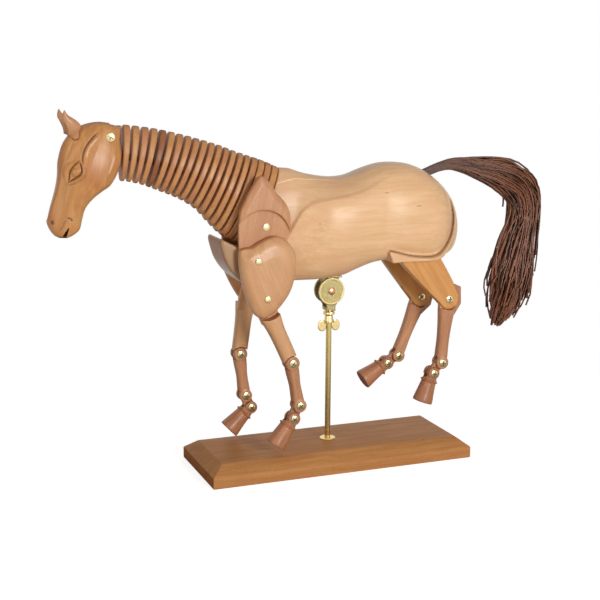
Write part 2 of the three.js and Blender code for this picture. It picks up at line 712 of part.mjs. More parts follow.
const poll = (() => {
  const { point, lean } = gaps[0];
  const normal = neckNormal(lean);
  const up = neckUp(lean);
  return flat(point.x - normal.x * pollAlong + up.x * pollUp,
    point.y - normal.y * pollAlong + up.y * pollUp);
})();

function blockOutline() {
  const { point, lean, size } = gaps[0];
  const normal = neckNormal(lean);
  const up = neckUp(lean);
  const rear = (height) => flat(point.x - normal.x * size / 2 + up.x * height - poll.x,
    point.y - normal.y * size / 2 + up.y * height - poll.y);
  return [rear(-5), rear(crestLine(0) - 1), ...arc(0, 0, pollRadius, 80, 250, 8)];
}

function neckHeadBlock() {
  const half = pollTongue / 2;
  const { point, lean } = gaps[0];
  const normal = neckNormal(lean);
  const start = new THREE.Vector3(point.x + normal.x * 2 - poll.x, 0, point.y + normal.y * 2 - poll.y);
  const end = new THREE.Vector3(point.x - normal.x * 3.8 - poll.x, 0, point.y - normal.y * 3.8 - poll.y);
  return geometryOf(cut(solidOf(slab(blockOutline(), -half, half)),
    rodAlong(coreRadius + seat, start, end, 8),
    pin(pollPinRadius + seat, -half - 1, half + 1)));
}

// Head: stations down the face with the places of the nose line and the jaw line, and the half width,
// as shares of the head's length, depth and half width.
const headStations = [[-0.1186, 0.0856, -0.1199, 0.3], [-0.0904, 0.3596, -0.2397, 0.5333],
  [-0.0339, 0.637, -0.2808, 0.6667], [0.0339, 0.8425, -0.4041, 0.7667],
  [0.1017, 0.9589, -0.5205, 0.8533], [0.226, 1.0377, -0.6062, 0.9733], [0.3842, 0.9658, -0.5753, 0.9867],
  [0.4859, 0.8425, -0.4041, 0.88], [0.565, 0.7603, -0.2877, 0.7733], [0.6667, 0.6952, -0.2123, 0.6867],
  [0.7684, 0.6507, -0.2534, 0.6267], [0.8588, 0.613, -0.3014, 0.6133], [0.9266, 0.5548, -0.2123, 0.5867],
  [0.9774, 0.3836, -0.0685, 0.4667], [1, 0.2397, 0.0856, 0.2667]];
const nodRange = [-26, 2]; // negative lifts the muzzle
const earX = -24; // in the head's own frame, face down
const earZ = -6;
const earOut = 7.5;
const earLength = 20;
const earRoot = 6;
const pollScrewHead = 3.3;
const pollCheek = 9.6; // where the screw's head sits

function headRing([down, front, rear, half], sides = 14) {
  const ring = [];
  const middle = ((front + rear) / 2) * headDepth;
  const reach = ((front - rear) / 2) * headDepth;
  for (let i = 0; i < sides; i++) {
    const a = (2 * Math.PI * i) / sides;
    const narrow = 1 - 0.22 * Math.max(0, Math.cos(a));
    const full = Math.cos(a) > 0 ? 2.2 : 3.4;
    ring.push(new THREE.Vector3(-(middle + reach * bend(Math.cos(a), full)),
      ((half * headWidth) / 2) * narrow * bend(Math.sin(a), full), -down * headLength));
  }
  return ring;
}

// An ear along its own axis: a short peg, then a pointed leaf.
function earShape(side, grow) {
  const stations = [[-earRoot - grow, 1.7, 1.7], [-0.5, 1.7, 1.7], [0, 2.8, 2.4], [0.22, 4.3, 2.9],
    [0.5, 4.6, 2.7],
    [0.75, 3.1, 1.9], [0.93, 1.2, 0.9], [1, 0.3, 0.3]];
  const geometry = skin(stations.map(([at, broad, thick]) => {
    const ring = [];
    const along = at <= 0 ? at : at * (earLength + grow);
    for (let i = 0; i < 10; i++) {
      const a = (2 * Math.PI * i) / 10;
      ring.push(new THREE.Vector3((broad + grow) * Math.cos(a), (thick + grow) * Math.sin(a), along));
    }
    return ring;
  }));
  geometry.rotateX(-side * rad(10));
  geometry.rotateY(-rad(58));
  geometry.translate(earX, side * earOut, earZ);
  return geometry;
}

// The room that the head block needs in the head while it nods, in the head's own frame: round the screw,
// down to the block's foot and out behind it, and round the sweep of its top corner.
function pollSpace() {
  const [foot, top] = blockOutline();
  const least = headTilt - nodRange[1];
  const most = headTilt - nodRange[0];
  const corner = (p, turn) => {
    const angle = Math.atan2(p.y, p.x) + rad(turn);
    const reach = p.length() + 2 * swing;
    return flat(reach * Math.cos(angle), reach * Math.sin(angle));
  };
  return [corner(foot, least), flat(40, -20), flat(40, 30), corner(top, least),
    corner(top, (least + most) / 2),
    corner(top, most), ...arc(0, 0, pollRadius + swing, 80 + most, 250 + least, 6)];
}

function head() {
  let body = solidOf(skin(headStations.map((station) => headRing(station))));
  const half = pollTongue / 2 + seat;
  body = cut(body, slab(pollSpace(), -half, half));
  body = cut(body, earShape(1, seat), earShape(-1, seat), pin(pollPinRadius + seat, -20, pollCheek + 0.3),
    pin(pollScrewHead + seat, -20, -pollCheek + 1.6 + seat));
  return geometryOf(body);
}

function headScrew() {
  const face = -pollCheek - 0.6;
  return new THREE.LatheGeometry([flat(0, face), flat(pollScrewHead - 0.5, face),
    flat(pollScrewHead, face + 0.5),
    flat(pollScrewHead, -pollCheek + 1.4), flat(pollPinRadius, -pollCheek + 1.6),
    flat(pollPinRadius, pollCheek),
    flat(0, pollCheek)], 12);
}

// Forelegs, built for the side that faces +Y. Each piece hangs along -Z from its own pivot.

const foreMid = foreInner + foreLegThick / 2;
const lapOuter = foreInner + lapThick;
const armOuter = armInner + armThick;
const slotHalf = linkThick / 2 + seat;
const shoulderFromBlade = flat(shoulderX - bladePivotX, shoulderZ - bladePivotZ);
const bladeOutline = rounded(scaled([[-0.0497, 0.5217], [0.0435, 0.4472], [0.0994, 0.354],
  [0.1752, 0.2795], [0.2398, 0.1801], [0.2609, 0.0745], [0.2484, -0.0994], [0.1491, -0.236],
  [0.0186, -0.3602], [-0.128, -0.4783], [-0.2609, -0.3851], [-0.2894, -0.1988], [-0.2857, 0.1242],
  [-0.2398, 0.2522], [-0.1801, 0.3627], [-0.1056, 0.4783]], bladeTall, bladeTall), 24);
const bladeRecess = { x: -0.041 * bladeTall, z: -0.124 * bladeTall, radius: 24.4 };
const armOutline = turned(rounded(scaled([[-0.0424, 0.1681], [0.0585, 0.2266], [0.2266, 0.2836],
  [0.3977, 0.2149], [0.5102, 0.0234], [0.4985, -0.212], [0.4269, -0.4298], [0.2515, -0.6433],
  [0.1023, -0.7164], [-0.0365, -0.636], [-0.1389, -0.3977], [-0.2018, -0.117], [-0.2105, 0.1096],
  [-0.1462, 0.1535]], armTall, armTall), 26),
-armLean);
const armEndRadius = 18.2;

function shoulderBlade() {
  const outer = foreInner + bladeThick;
  const body = solidOf(crowned(bladeOutline, flat(-2, 4), [[foreInner, 0.97], [foreInner + 0.8, 1],
    [outer - 3, 1], [outer - 1.2, 0.94], [outer, 0.8]]));
  const { x, z, radius } = bladeRecess;
  const hollow = slab([...arc(x, z, radius, 0, 180, 12), flat(x - radius, -60), flat(x + radius, -60)],
    lapOuter, outer + 5);
  const joined = join(cut(body, hollow), pin(bladePinRadius, 8 + seat, foreInner + 2));
  return geometryOf(cut(joined, pin(armPinRadius + seat, 0, 40, shoulderFromBlade.x, shoulderFromBlade.y)));
}

function upperArm() {
  const body = solidOf(crowned(armOutline, turned([flat(10, -14)], -armLean)[0], [[armInner, 0.97],
    [armInner + 0.9, 1], [armInner + 3.6, 1], [armInner + 7, 0.93], [armOuter - 1, 0.77],
    [armOuter, 0.5]]));
  const scoop = new THREE.SphereGeometry(20, 12, 8);
  scoop.translate(-14, armOuter + 15, 12);
  const pins = [pin(armPinRadius, foreInner + 0.1, armInner + 2),
    pin(armPinRadius, foreInner + 0.1, armInner + 2,
    0, -armDrop)];
  return geometryOf(join(cut(body, scoop), ...pins));
}

// A round knuckle across Y, softened at its rims.
function knuckle(radius, half, z = 0) {
  return crowned(arc(0, z, radius, 0, 360, 10).slice(0, 10), flat(0, z),
    [[-half, 0.84], [-half + 1.2, 1], [half - 1.2, 1], [half, 0.84]]);
}

const linkTongue = (from, to) => slab([...arc(0, to, linkRadius, 180, 360, 6), flat(linkRadius, from),
  flat(-linkRadius, from)], -linkThick / 2, linkThick / 2);

function shifted(geometry, y) {
  geometry.translate(0, y, 0);
  return geometry;
}

function forearm() {
  const half = foreLegThick / 2;
  const body = solidOf(limb([[2, -1.5, 9, half], [16, -1.5, 8.8, half], [30, -1.1, 7.2, half],
    [44, -0.4, 6.8, half],
    [57, 0, 6.7, half - 0.2], [forearmLength + 2, 0, 6.5, half - 0.4]]));
  const cove = pin(armEndRadius + swing, lapOuter - foreMid, 20, 0, 0, 24);
  const kneeSpace = slab(sweptBelow(kneeRadius + swing, relief.knee, -forearmLength), -20, 20);
  const lap = slab([...arc(0, 0, 9, 0, 180, 10), flat(-10.2, -8), flat(-9.6, -22), flat(6.6, -22)],
    foreInner - foreMid, lapOuter - foreMid);
  const tongue = linkTongue(-forearmLength + 14, -forearmLength);
  const whole = join(cut(body, cove, kneeSpace), lap, tongue);
  return geometryOf(cut(whole, pin(armPinRadius + seat, -20, 20),
    pin(legPinRadius + seat, -20, 20, 0, -forearmLength)));
}

// A fork's slot, open at the end of the limb, and the pin across it.
const forkSlot = (z, up) => block(-20, 20, -slotHalf, slotHalf, up ? z - 5 : z - 20, up ? z + 20 : z + 5);
const forkPin = (half, z = 0) => pin(legPinRadius, -half, half, 0, z, 8);

function foreCannon() {
  const half = foreLegThick / 2 - 0.3;
  const end = -foreCannonLength;
  let body = solidOf(limb([[0, 0, kneeRadius - 0.2, half - 0.5], [9, 0, 5.6, half - 0.4],
    [20, 0, 4.7, half - 0.7],
    [30, 0, 5.1, half - 0.5], [foreCannonLength, 0, fetlockRadius - 0.2, half - 0.5]]));
  body = join(body, knuckle(kneeRadius, half), knuckle(fetlockRadius, half, end));
  body = cut(body, forkSlot(0, true), forkSlot(end, false));
  return geometryOf(join(body, forkPin(half - 1), forkPin(half - 1, end)));
}

function pasternLink() {
  const outline = [...arc(0, 0, linkRadius, 0, 180, 5), ...arc(0, -linkLength, linkRadius, 180, 360, 5)];
  const half = linkThick / 2;
  return geometryOf(cut(solidOf(slab(outline, -half, half)), pin(legPinRadius + seat, -9, 9),
    pin(legPinRadius + seat, -9, 9, 0, -linkLength)));
}

function hoof() {
  const half = hindLegThick / 2;
  let body = solidOf(limb([[0, 0, coffinRadius - 0.2, half - 0.5], [hoofRing - 1, 0.2, hoofTop, half],
    [hoofRing - 0.4, 0.2, hoofRingRadius - 0.2, half + 1.5],
    [hoofRing + 0.5, 0.2, hoofRingRadius - 0.2, half + 1.5],
    [hoofRing + 1.2, 0.2, hoofTop + 0.2, half + 0.6], [hoofLength - 9, 0.3, hoofSole - 1.1, half + 1.6],
    [hoofLength, 0.5, hoofSole, half + 2.7]], 10, 2.2));
  body = cut(join(body, knuckle(coffinRadius, half)), forkSlot(0, true));
  return geometryOf(join(body, forkPin(half - 1)));
}

// Hind legs

function thigh() {
  const half = thighThick / 2;
  let board = solidOf(crowned(thighOutline, flat(0, -30), [[-half, 0.97], [-half + 0.8, 1], [half - 0.8, 1],
    [half, 0.97]]));
  board = cut(board, block(-30, 30, -slotHalf, slotHalf, -thighLength - 20, -thighLength + 17));
  return geometryOf(join(board, pin(hipPinRadius, 9 + seat - hindY, 27 - hindY),
    forkPin(half - 0.6, -thighLength)));
}

function hindCannon() {
  const half = hindLegThick / 2;
  const end = -hindCannonLength;
  let body = solidOf(limb([[3, 0, 8.4, half], [12, 0, 7.4, half], [24, 0, 6.1, half - 0.3],
    [38, 0, 5.3, half - 0.5],
    [50, 0, 5.5, half - 0.3], [hindCannonLength, 0, fetlockRadius - 0.2, half - 0.5]]));
  body = cut(body, slab(upended(sweptBelow(hockRadius + swing, relief.hock)), -20, 20));
  const tongue = [flat(5.8, 13.2), flat(11.3, 11.3), flat(13.3, -3.8), flat(7.4, -15), flat(-7.2, -15),
    ...arc(0, 0, 8.6, 195, 120, 5)];
  body = join(body, slab(tongue, -linkThick / 2, linkThick / 2), knuckle(fetlockRadius, half, end));
  body = cut(body, pin(legPinRadius + seat, -20, 20), forkSlot(end, false));
  return geometryOf(join(body, forkPin(half - 1, end)));
}

// Tail: a tapered bundle of hair that rises from its bore, arches over and hangs.
function tail() {
  const bore = tailRoot.clone().addScaledVector(tailAim, -tailDepth + seat);
  const route = scaled([[0.5685, 1], [0.6853, 0.9981], [0.8274, 0.9567], [0.9289, 0.851],
    [0.9873, 0.7308], [1, 0.5673], [0.9746, 0.3942], [0.9492, 0.2115], [0.9213, 0], [0.8909, -0.2596],
    [0.8629, -0.4423]], tailReach, tailRise);
  const lip = tailRoot.clone().addScaledVector(tailAim, 5);
  const fall = route.map(([x, z]) => new THREE.Vector3(x, 0, z));
  const curve = new THREE.CatmullRomCurve3([bore, tailRoot, lip, ...fall]);
  const thickness = line([[0, tailBore - 0.2], [0.08, tailBore - 0.2],
    ...scaled([[0.17, 0.244], [0.28, 0.356], [0.42, 0.533], [0.55, 0.639], [0.66, 0.806], [0.77, 1],
    [0.88, 0.972],
      [0.95, 0.667], [1, 0.167]], 1, tailFull)]);
  const steps = 16;
  const sides = 12;
  const rings = [];
  for (let s = 0; s <= steps; s++) {
    const at = s / steps;
    const p = curve.getPointAt(at);
    const t = curve.getTangentAt(at);
    const across = new THREE.Vector3(-t.z, 0, t.x);
    const flatness = at < 0.1 ? 1 : 1 - (1 - tailHalf) * Math.min(1, (at - 0.1) / 0.2);
    const ring = [];
    for (let i = 0; i < sides; i++) {
      const a = (2 * Math.PI * i) / sides;
      const lock = at < 0.12 ? 1 : 1 + 0.1 * Math.cos(4 * a + at * 9);
      const r = thickness(at) * lock;
      ring.push(p.clone().addScaledVector(across, r * Math.cos(a))
        .add(new THREE.Vector3(0, r * flatness * Math.sin(a), 0)));
    }
    rings.push(ring);
  }
  return skin(rings);
}

// Assembly

function buildStand() {
  add(model, 'base_board', baseBoard(), boardBeech);
  add(model, 'stand_rod', standRod(), brass);
  add(model, 'foot_ring', footRing(), brass);
  add(model, 'wing_nut', wingNut(), brass);
  const yoke = pivot(model, 'yoke_frame', 0, 0, pivotHeight);
  add(yoke, 'swivel_yoke', swivelYoke(), brass);
  add(yoke, 'pivot_rivet', pivotRivet(), copper);
}

function buildForeleg(horse, side, name) {
  const ours = (geometry, y = 0) => (side > 0 ? shifted(geometry, y) : mirrored(shifted(geometry, y)));
  const angles = pose[name];
  const blade = pivot(horse, `${name}_blade_pivot`, bladePivotX, 0, bladePivotZ);
  add(blade, `${name}_shoulder_blade`, ours(shoulderBlade()), pinkMaple);
  const shoulder = pivot(blade, `${name}_shoulder_pivot`, shoulderFromBlade.x, 0, shoulderFromBlade.y,
    angles.arm);
  add(shoulder, `${name}_upper_arm`, ours(upperArm()), honeyMaple);
  const elbow = pivot(shoulder, `${name}_elbow_pivot`, 0, 0, -armDrop, angles.forearm - angles.arm);
  add(elbow, `${name}_forearm`, ours(forearm(), foreMid), legMaple);
  const knee = pivot(elbow, `${name}_knee_pivot`, 0, 0, -forearmLength, angles.foreCannon - angles.forearm);
  add(knee, `${name}_fore_cannon`, ours(foreCannon(), foreMid), legMaple);
  buildFoot(knee, name, 'fore', foreCannonLength, ours, foreMid,
    [angles.foreCannon, angles.foreLink, angles.foreHoof]);
}

function buildFoot(parent, name, which, length, ours, middle, [upper, link, foot]) {
  const fetlock = pivot(parent, `${name}_${which}_fetlock_pivot`, 0, 0, -length, link - upper);
  add(fetlock, `${name}_${which}_pastern`, ours(pasternLink(), middle), legMaple);
  const coffin = pivot(fetlock, `${name}_${which}_coffin_pivot`, 0, 0, -linkLength, foot - link);
  add(coffin, `${name}_${which}_hoof`, ours(hoof(), middle), legMaple);
}

function buildHindleg(horse, side, name) {
  const ours = (geometry, y = 0) => (side > 0 ? shifted(geometry, y) : mirrored(shifted(geometry, y)));
  const angles = pose[name];
  const hip = pivot(horse, `${name}_hip_pivot`, hipX, 0, hipZ, angles.thigh);
  add(hip, `${name}_thigh`, ours(thigh(), hindY), honeyMaple);
  const hock = pivot(hip, `${name}_hock_pivot`, 0, 0, -thighLength, angles.hindCannon - angles.thigh);
  add(hock, `${name}_hind_cannon`, ours(hindCannon(), hindY), legMaple);
  buildFoot(hock, name, 'hind', hindCannonLength, ours, hindY,
    [angles.hindCannon, angles.hindLink, angles.hindHoof]);
}

function buildHorse() {
  const horse = pivot(model, 'horse_frame', 0, 0, pivotHeight);
  add(horse, 'torso', torso(), honeyMaple);
  add(horse, 'belly_bracket', bellyBracket(), brass);
  add(horse, 'neck_core', neckCore(), steel);
  for (let k = 1; k <= plateCount; k++) {
    const tone = [honeyMaple, pinkMaple][k % 2];
    add(horse, `neck_plate_${String(k).padStart(2, '0')}`, neckPlate(k), k === 5 ? darkMaple : tone);
  }
  const crown = pivot(horse, 'poll_frame', poll.x, 0, poll.y);
  add(crown, 'neck_head_block', neckHeadBlock(), darkMaple);
  const skull = pivot(crown, 'head_frame', 0, 0, 0, -headTilt);
  add(skull, 'head', head(), honeyMaple);
  add(skull, 'head_screw', headScrew(), brass);
  add(skull, 'left_ear', earShape(-1, 0), pinkMaple);
  add(skull, 'right_ear', earShape(1, 0), pinkMaple);
  for (const [side, name] of [[-1, 'left'], [1, 'right']]) {
    buildForeleg(horse, side, name);
    buildHindleg(horse, side, name);
  }
  add(horse, 'tail', tail(), horsehair);
}

buildStand();
buildHorse();

export { gaps, poll };
export default model;
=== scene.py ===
import json
import math
import random

import bpy
import numpy as np
from mathutils import Matrix, Vector


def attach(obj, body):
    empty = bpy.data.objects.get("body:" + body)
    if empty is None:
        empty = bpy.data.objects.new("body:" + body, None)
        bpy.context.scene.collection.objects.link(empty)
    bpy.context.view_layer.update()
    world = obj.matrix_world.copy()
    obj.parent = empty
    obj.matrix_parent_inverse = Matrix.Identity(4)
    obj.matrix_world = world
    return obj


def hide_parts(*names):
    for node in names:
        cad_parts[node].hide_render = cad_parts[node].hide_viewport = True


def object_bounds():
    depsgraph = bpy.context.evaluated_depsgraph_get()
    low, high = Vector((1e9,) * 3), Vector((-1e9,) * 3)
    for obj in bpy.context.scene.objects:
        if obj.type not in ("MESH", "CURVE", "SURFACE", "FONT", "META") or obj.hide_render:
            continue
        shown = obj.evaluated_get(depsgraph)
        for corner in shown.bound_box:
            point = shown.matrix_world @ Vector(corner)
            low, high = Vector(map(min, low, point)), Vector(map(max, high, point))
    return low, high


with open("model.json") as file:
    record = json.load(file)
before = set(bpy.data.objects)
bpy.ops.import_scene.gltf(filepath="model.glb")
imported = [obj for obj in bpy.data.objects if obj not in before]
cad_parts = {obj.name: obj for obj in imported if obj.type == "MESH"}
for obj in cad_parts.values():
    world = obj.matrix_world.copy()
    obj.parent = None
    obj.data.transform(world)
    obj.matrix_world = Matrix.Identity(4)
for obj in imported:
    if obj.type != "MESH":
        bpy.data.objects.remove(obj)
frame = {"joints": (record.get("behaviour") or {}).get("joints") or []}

# A jointed wooden horse on a brass rod. Shapes are worked out in millimetres and
# turned into metres as the last step of each piece, in the CAD model's own frame.

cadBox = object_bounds()
mm = 0.001
scene = bpy.context.scene
jointAt = {j["name"]: np.array(j["pos_m"]) / mm for j in frame["joints"]}
rivetZ = jointAt["body_tilt"][2]

# node helpers: the output of a node is kept as a Value, which can be added, multiplied and so on


class Value:
    def __init__(self, socket):
        self.socket = socket
        self.tree = socket.id_data

    def __add__(self, other):
        return calc("ADD", self, other)

    def __radd__(self, other):
        return calc("ADD", other, self)

    def __sub__(self, other):
        return calc("SUBTRACT", self, other)

    def __rsub__(self, other):
        return calc("SUBTRACT", other, self)

    def __mul__(self, other):
        return calc("MULTIPLY", self, other)

    def __truediv__(self, other):
        return calc("DIVIDE", self, other)


def fill(made, inputs):
    # gives each input of a node a link or a plain value
    for key, given in inputs.items():
        if isinstance(given, Value):
            given.tree.links.new(given.socket, made.inputs[key])
        else:
            made.inputs[key].default_value = given


def node(tree, kind, inputs=None, **settings):
    made = tree.nodes.new(kind)
    for key, setting in settings.items():
        setattr(made, key, setting)
    fill(made, inputs or {})
    return made


def value(tree, kind, inputs=None, key=0, **settings):
    return Value(node(tree, kind, inputs, **settings).outputs[key])


def valueInput(made):
    # a node that works on several kinds of data shows one Value input for each, and only one is in use
    return next(i for i, socket in enumerate(made.inputs) if socket.name == "Value" and socket.enabled)


def treeOf(values):
    return next(v.tree for v in values if isinstance(v, Value))


def isVector(given):
    return isinstance(given, tuple) or isinstance(given, Value) and given.socket.type in ("VECTOR", "RGBA")


def calc(operation, *values, clamp=False):
    # one math node, or one vector math node where a vector takes part
    tree = treeOf(values)
    vectors = [isVector(v) for v in values]
    if not any(vectors):
        return value(tree, "ShaderNodeMath", dict(enumerate(values)), operation=operation, use_clamp=clamp)
    scaled = operation == "MULTIPLY" and not all(vectors)
    inputs = {"Scale" if scaled and at == 1 else at: v for at, v in enumerate(values)}
    key = "Value" if operation in ("DOT_PRODUCT", "LENGTH") else "Vector"
    return value(tree, "ShaderNodeVectorMath", inputs, key, operation="SCALE" if scaled else operation)


def vectorOf(**parts):
    inputs = {axis.upper(): part for axis, part in parts.items()}
    return value(treeOf(parts.values()), "ShaderNodeCombineXYZ", inputs)


def ramp(share, low, high):
    # 0 below low and 1 above high
    return value(share.tree, "ShaderNodeMapRange", {0: share, 1: low, 2: high},
                 interpolation_type="SMOOTHSTEP")


def blendColor(share, first, second, mode="MIX"):
    tree = treeOf((share, first, second))
    inputs = {0: share, 6: first, 7: second}
    return value(tree, "ShaderNodeMix", inputs, 2, data_type="RGBA", blend_type=mode)


def noise(vector, scale, detail, rough=0.5, distortion=0.0, key=0):
    return value(vector.tree, "ShaderNodeTexNoise", {
        "Vector": vector, "Scale": scale, "Detail": detail, "Roughness": rough, "Distortion": distortion}, key)


def newGroup(name, kind, inputs, outputs):
    # inputs and outputs are names by kind of socket
    tree = bpy.data.node_groups.new(name, kind)
    for way, sockets in (("INPUT", inputs), ("OUTPUT", outputs)):
        for socketKind, titles in sockets.items():
            for title in titles:
                tree.interface.new_socket(title, in_out=way, socket_type="NodeSocket" + socketKind)
    given = {socket.name: Value(socket) for socket in tree.nodes.new("NodeGroupInput").outputs}
    return tree, given, tree.nodes.new("NodeGroupOutput")


def newMaterial(name):
    material = bpy.data.materials.new(name)
    material.use_nodes = True
    tree = material.node_tree
    return material, tree, tree.nodes["Principled BSDF"]


def tone(red, green, blue):
    # a colour as it shows on a screen, 0 to 255, for a shader
    parts = [(c / 255 / 12.92) if c <= 10 else ((c / 255 + 0.055) / 1.055) ** 2.4 for c in (red, green, blue)]
    return (*parts, 1.0)


def table(keys, rows):
    # a dictionary of settings from each row of plain values
    return {name: dict(zip(keys, row)) for name, row in rows.items()}


def fullTurn(count):
    return np.linspace(0, 2 * math.pi, count, endpoint=False)


# camera, light and floor

view = {
    "azimuth": -21.5, "elevation": 11.4, "roll": 0.4,  # degrees
    "distance": 1050.0, "across": -25.2, "height": 143.0,  # millimetres; the middle of the picture
    "focal": 1208.0, "picture": 600,  # pixels
    "sensor": 36, "nearest": 0.05, "sky": 0.17,
}
lamps = table(("place", "size", "power", "gloss"), {  # metres, watts and whether metal mirrors the lamp
    "keyLamp": ((0.28, -1.38, 0.42), 0.5, 12.3, True),
    "fillLamp": ((-1.0, -0.7, 0.4), 0.9, 3.0, True),
    "rearLamp": ((0.5, 1.3, 0.22), 0.9, 5.5, False),
    "rimLamp": ((0.1, 0.55, 1.0), 0.8, 0.3, True),
})
lampTarget = (0.02, 0, 0.16)
ground = {
    "radii": (0.3, 0.7, 1.6, 3.0), "sides": 64, "tone": 0.62, "lift": 0.8,
    "whiteFrom": 0.17, "whiteAt": 0.42,  # metres from the middle
    "along": 0.72,  # what a metre counts along the board
}
white = (1, 1, 1, 1)


def makeCamera():
    a, e, r = (math.radians(view[k]) for k in ("azimuth", "elevation", "roll"))
    back = Vector((math.sin(a) * math.cos(e), -math.cos(a) * math.cos(e), math.sin(e)))
    right = Vector((math.cos(a), math.sin(a), 0))
    up = back.cross(right)
    rolledRight = right * math.cos(r) + up * math.sin(r)
    rolledUp = up * math.cos(r) - right * math.sin(r)
    target = right * view["across"] + Vector((0, 0, view["height"]))
    camera = bpy.data.objects.new("camera", bpy.data.cameras.new("camera"))
    camera.data.lens = view["focal"] / view["picture"] * view["sensor"]
    camera.data.sensor_width = view["sensor"]
    camera.data.clip_start = view["nearest"]
    axes = Matrix((rolledRight, rolledUp, back)).transposed().to_4x4()
    camera.matrix_world = Matrix.Translation((target + back * view["distance"]) * mm) @ axes
    scene.collection.objects.link(camera)
    scene.camera = camera


def makeLamps():
    for name, lamp in lamps.items():
        data = bpy.data.lights.new(name, "AREA")
        data.shape = "DISK"
        data.size = lamp["size"]
        data.energy = lamp["power"]
        made = bpy.data.objects.new(name, data)
        scene.collection.objects.link(made)
        made.location = lamp["place"]
        made.rotation_euler = (Vector(lampTarget) - made.location).to_track_quat("-Z", "Y").to_euler()
        made.visible_glossy = lamp["gloss"]


def seenOrMirrored(tree):
    path = node(tree, "ShaderNodeLightPath").outputs
    return calc("MAXIMUM", Value(path["Is Camera Ray"]), Value(path["Is Glossy Ray"]))


def makeSky():
    # plain white to look at and in reflections, and dim as a light
    world = bpy.data.worlds.new("studio")
    world.use_nodes = True
    scene.world = world
    tree = world.node_tree
    tree.nodes.clear()
    dim = value(tree, "ShaderNodeBackground", {"Color": white, "Strength": view["sky"]})
    bright = value(tree, "ShaderNodeBackground", {"Color": white})
    mixed = value(tree, "ShaderNodeMixShader", {0: seenOrMirrored(tree), 1: dim, 2: bright})
    node(tree, "ShaderNodeOutputWorld", {0: mixed})
    scene.view_settings.view_transform = "Standard"


def makeFloor():
    sides = ground["sides"]
    points = [(r * math.cos(t), r * math.sin(t), 0.0) for r in ground["radii"] for t in fullTurn(sides)]
    points.append((0, 0, 0))
    faces = [(len(points) - 1, i, (i + 1) % sides) for i in range(sides)]
    for start in range(0, len(points) - 1 - sides, sides):
        faces += [(start + i, start + sides + i, start + sides + (i + 1) % sides, start + (i + 1) % sides)
                  for i in range(sides)]
    mesh = bpy.data.meshes.new("floor")
    mesh.from_pydata(points, [], faces)
    floor = bpy.data.objects.new("floor", mesh)
    scene.collection.objects.link(floor)
    material, tree, surface = newMaterial("floorPaper")
    lift = value(tree, "ShaderNodeLightPath", key="Is Camera Ray") * ground["lift"]
    fill(surface, {"Base Color": (*[ground["tone"]] * 3, 1), "Roughness": 0.9, "Specular IOR Level": 0.1,
                   "Emission Color": white, "Emission Strength": lift})
    # away from the object the paper goes over into plain white, for the eye and for reflections alone
    away = calc("LENGTH", value(tree, "ShaderNodeTexCoord", key="Object") * (ground["along"], 1, 1))
    share = ramp(away, ground["whiteFrom"], ground["whiteAt"]) * seenOrMirrored(tree)
    mixed = value(tree, "ShaderNodeMixShader", {
        0: share, 1: Value(surface.outputs[0]), 2: value(tree, "ShaderNodeEmission")})
    fill(tree.nodes["Material Output"], {"Surface": mixed})
    mesh.materials.append(material)


makeCamera()
makeLamps()
makeSky()
makeFloor()
print("camera, light and floor")

# wood


def woodGrainGroup():
    # grain along X of the given vector, in metres
    tree, given, result = newGroup("woodGrain", "ShaderNodeTree", {
        "Vector": ["Vector"], "Color": ["Pale", "Dark", "Flush"],
        "Float": ["Figure", "Streak", "Fleck", "Blotch", "End Grain"]},
        {"Color": ["Color"], "Float": ["Roughness", "Height"]})
    place = given["Vector"] * (1 / mm)
    drift = noise(place * (0.012, 0.03, 0.03), 1.0, 2.0)
    bent = place + vectorOf(y=drift, z=drift) * 9.0
    growth = noise(bent * (0.015, 0.2, 0.2), 1.0, 3.0, 0.55, 0.4)
    streaks = noise(bent * (0.016, 1.1, 1.1), 1.0, 4.0, 0.6, 0.2)
    fibre = noise(bent * (0.12, 5.0, 5.0), 1.0, 2.0)
    dashes = noise(bent * (0.55, 3.4, 3.4), 1.0, 1.0)
    cloud = noise(place * (0.03, 0.05, 0.05), 1.0, 2.0)
    shade = ramp(growth, 0.3, 0.7) * given["Figure"] + (streaks - 0.5) * given["Streak"]
    shade = calc("ADD", shade, (fibre - 0.5) * 0.2, clamp=True)
    wood = blendColor(shade, given["Pale"], given["Dark"])
    wood = blendColor(ramp(cloud, 0.42, 0.68) * given["Blotch"], wood, given["Flush"])
    fleck = ramp(dashes, 0.63, 0.72) * given["Fleck"]
    wood = blendColor(fleck, wood, blendColor(0.6, wood, given["Dark"], "MULTIPLY"))
    wood = blendColor(given["End Grain"], wood, blendColor(0.55, wood, given["Dark"], "MULTIPLY"))
    fill(result, {"Color": wood, "Roughness": 0.34 + streaks * 0.14 + given["End Grain"] * 0.2,
                  "Height": fibre * 0.4 - fleck})
    return tree


def spotGroup():
    # a soft oval mark at a place on the wood
    tree, given, result = newGroup("woodMark", "ShaderNodeTree", {"Vector": ["Vector", "Place", "Size"]},
                                   {"Float": ["Mask"]})
    offset = calc("LENGTH", (given["Vector"] - given["Place"]) / given["Size"])
    ragged = offset + noise(given["Vector"], 900.0, 2.0) * 0.5
    fill(result, {"Mask": calc("SUBTRACT", 1.0, ramp(ragged, 0.5, 1.3), clamp=True)})
    return tree


woodGrain = woodGrainGroup()
woodMark = spotGroup()

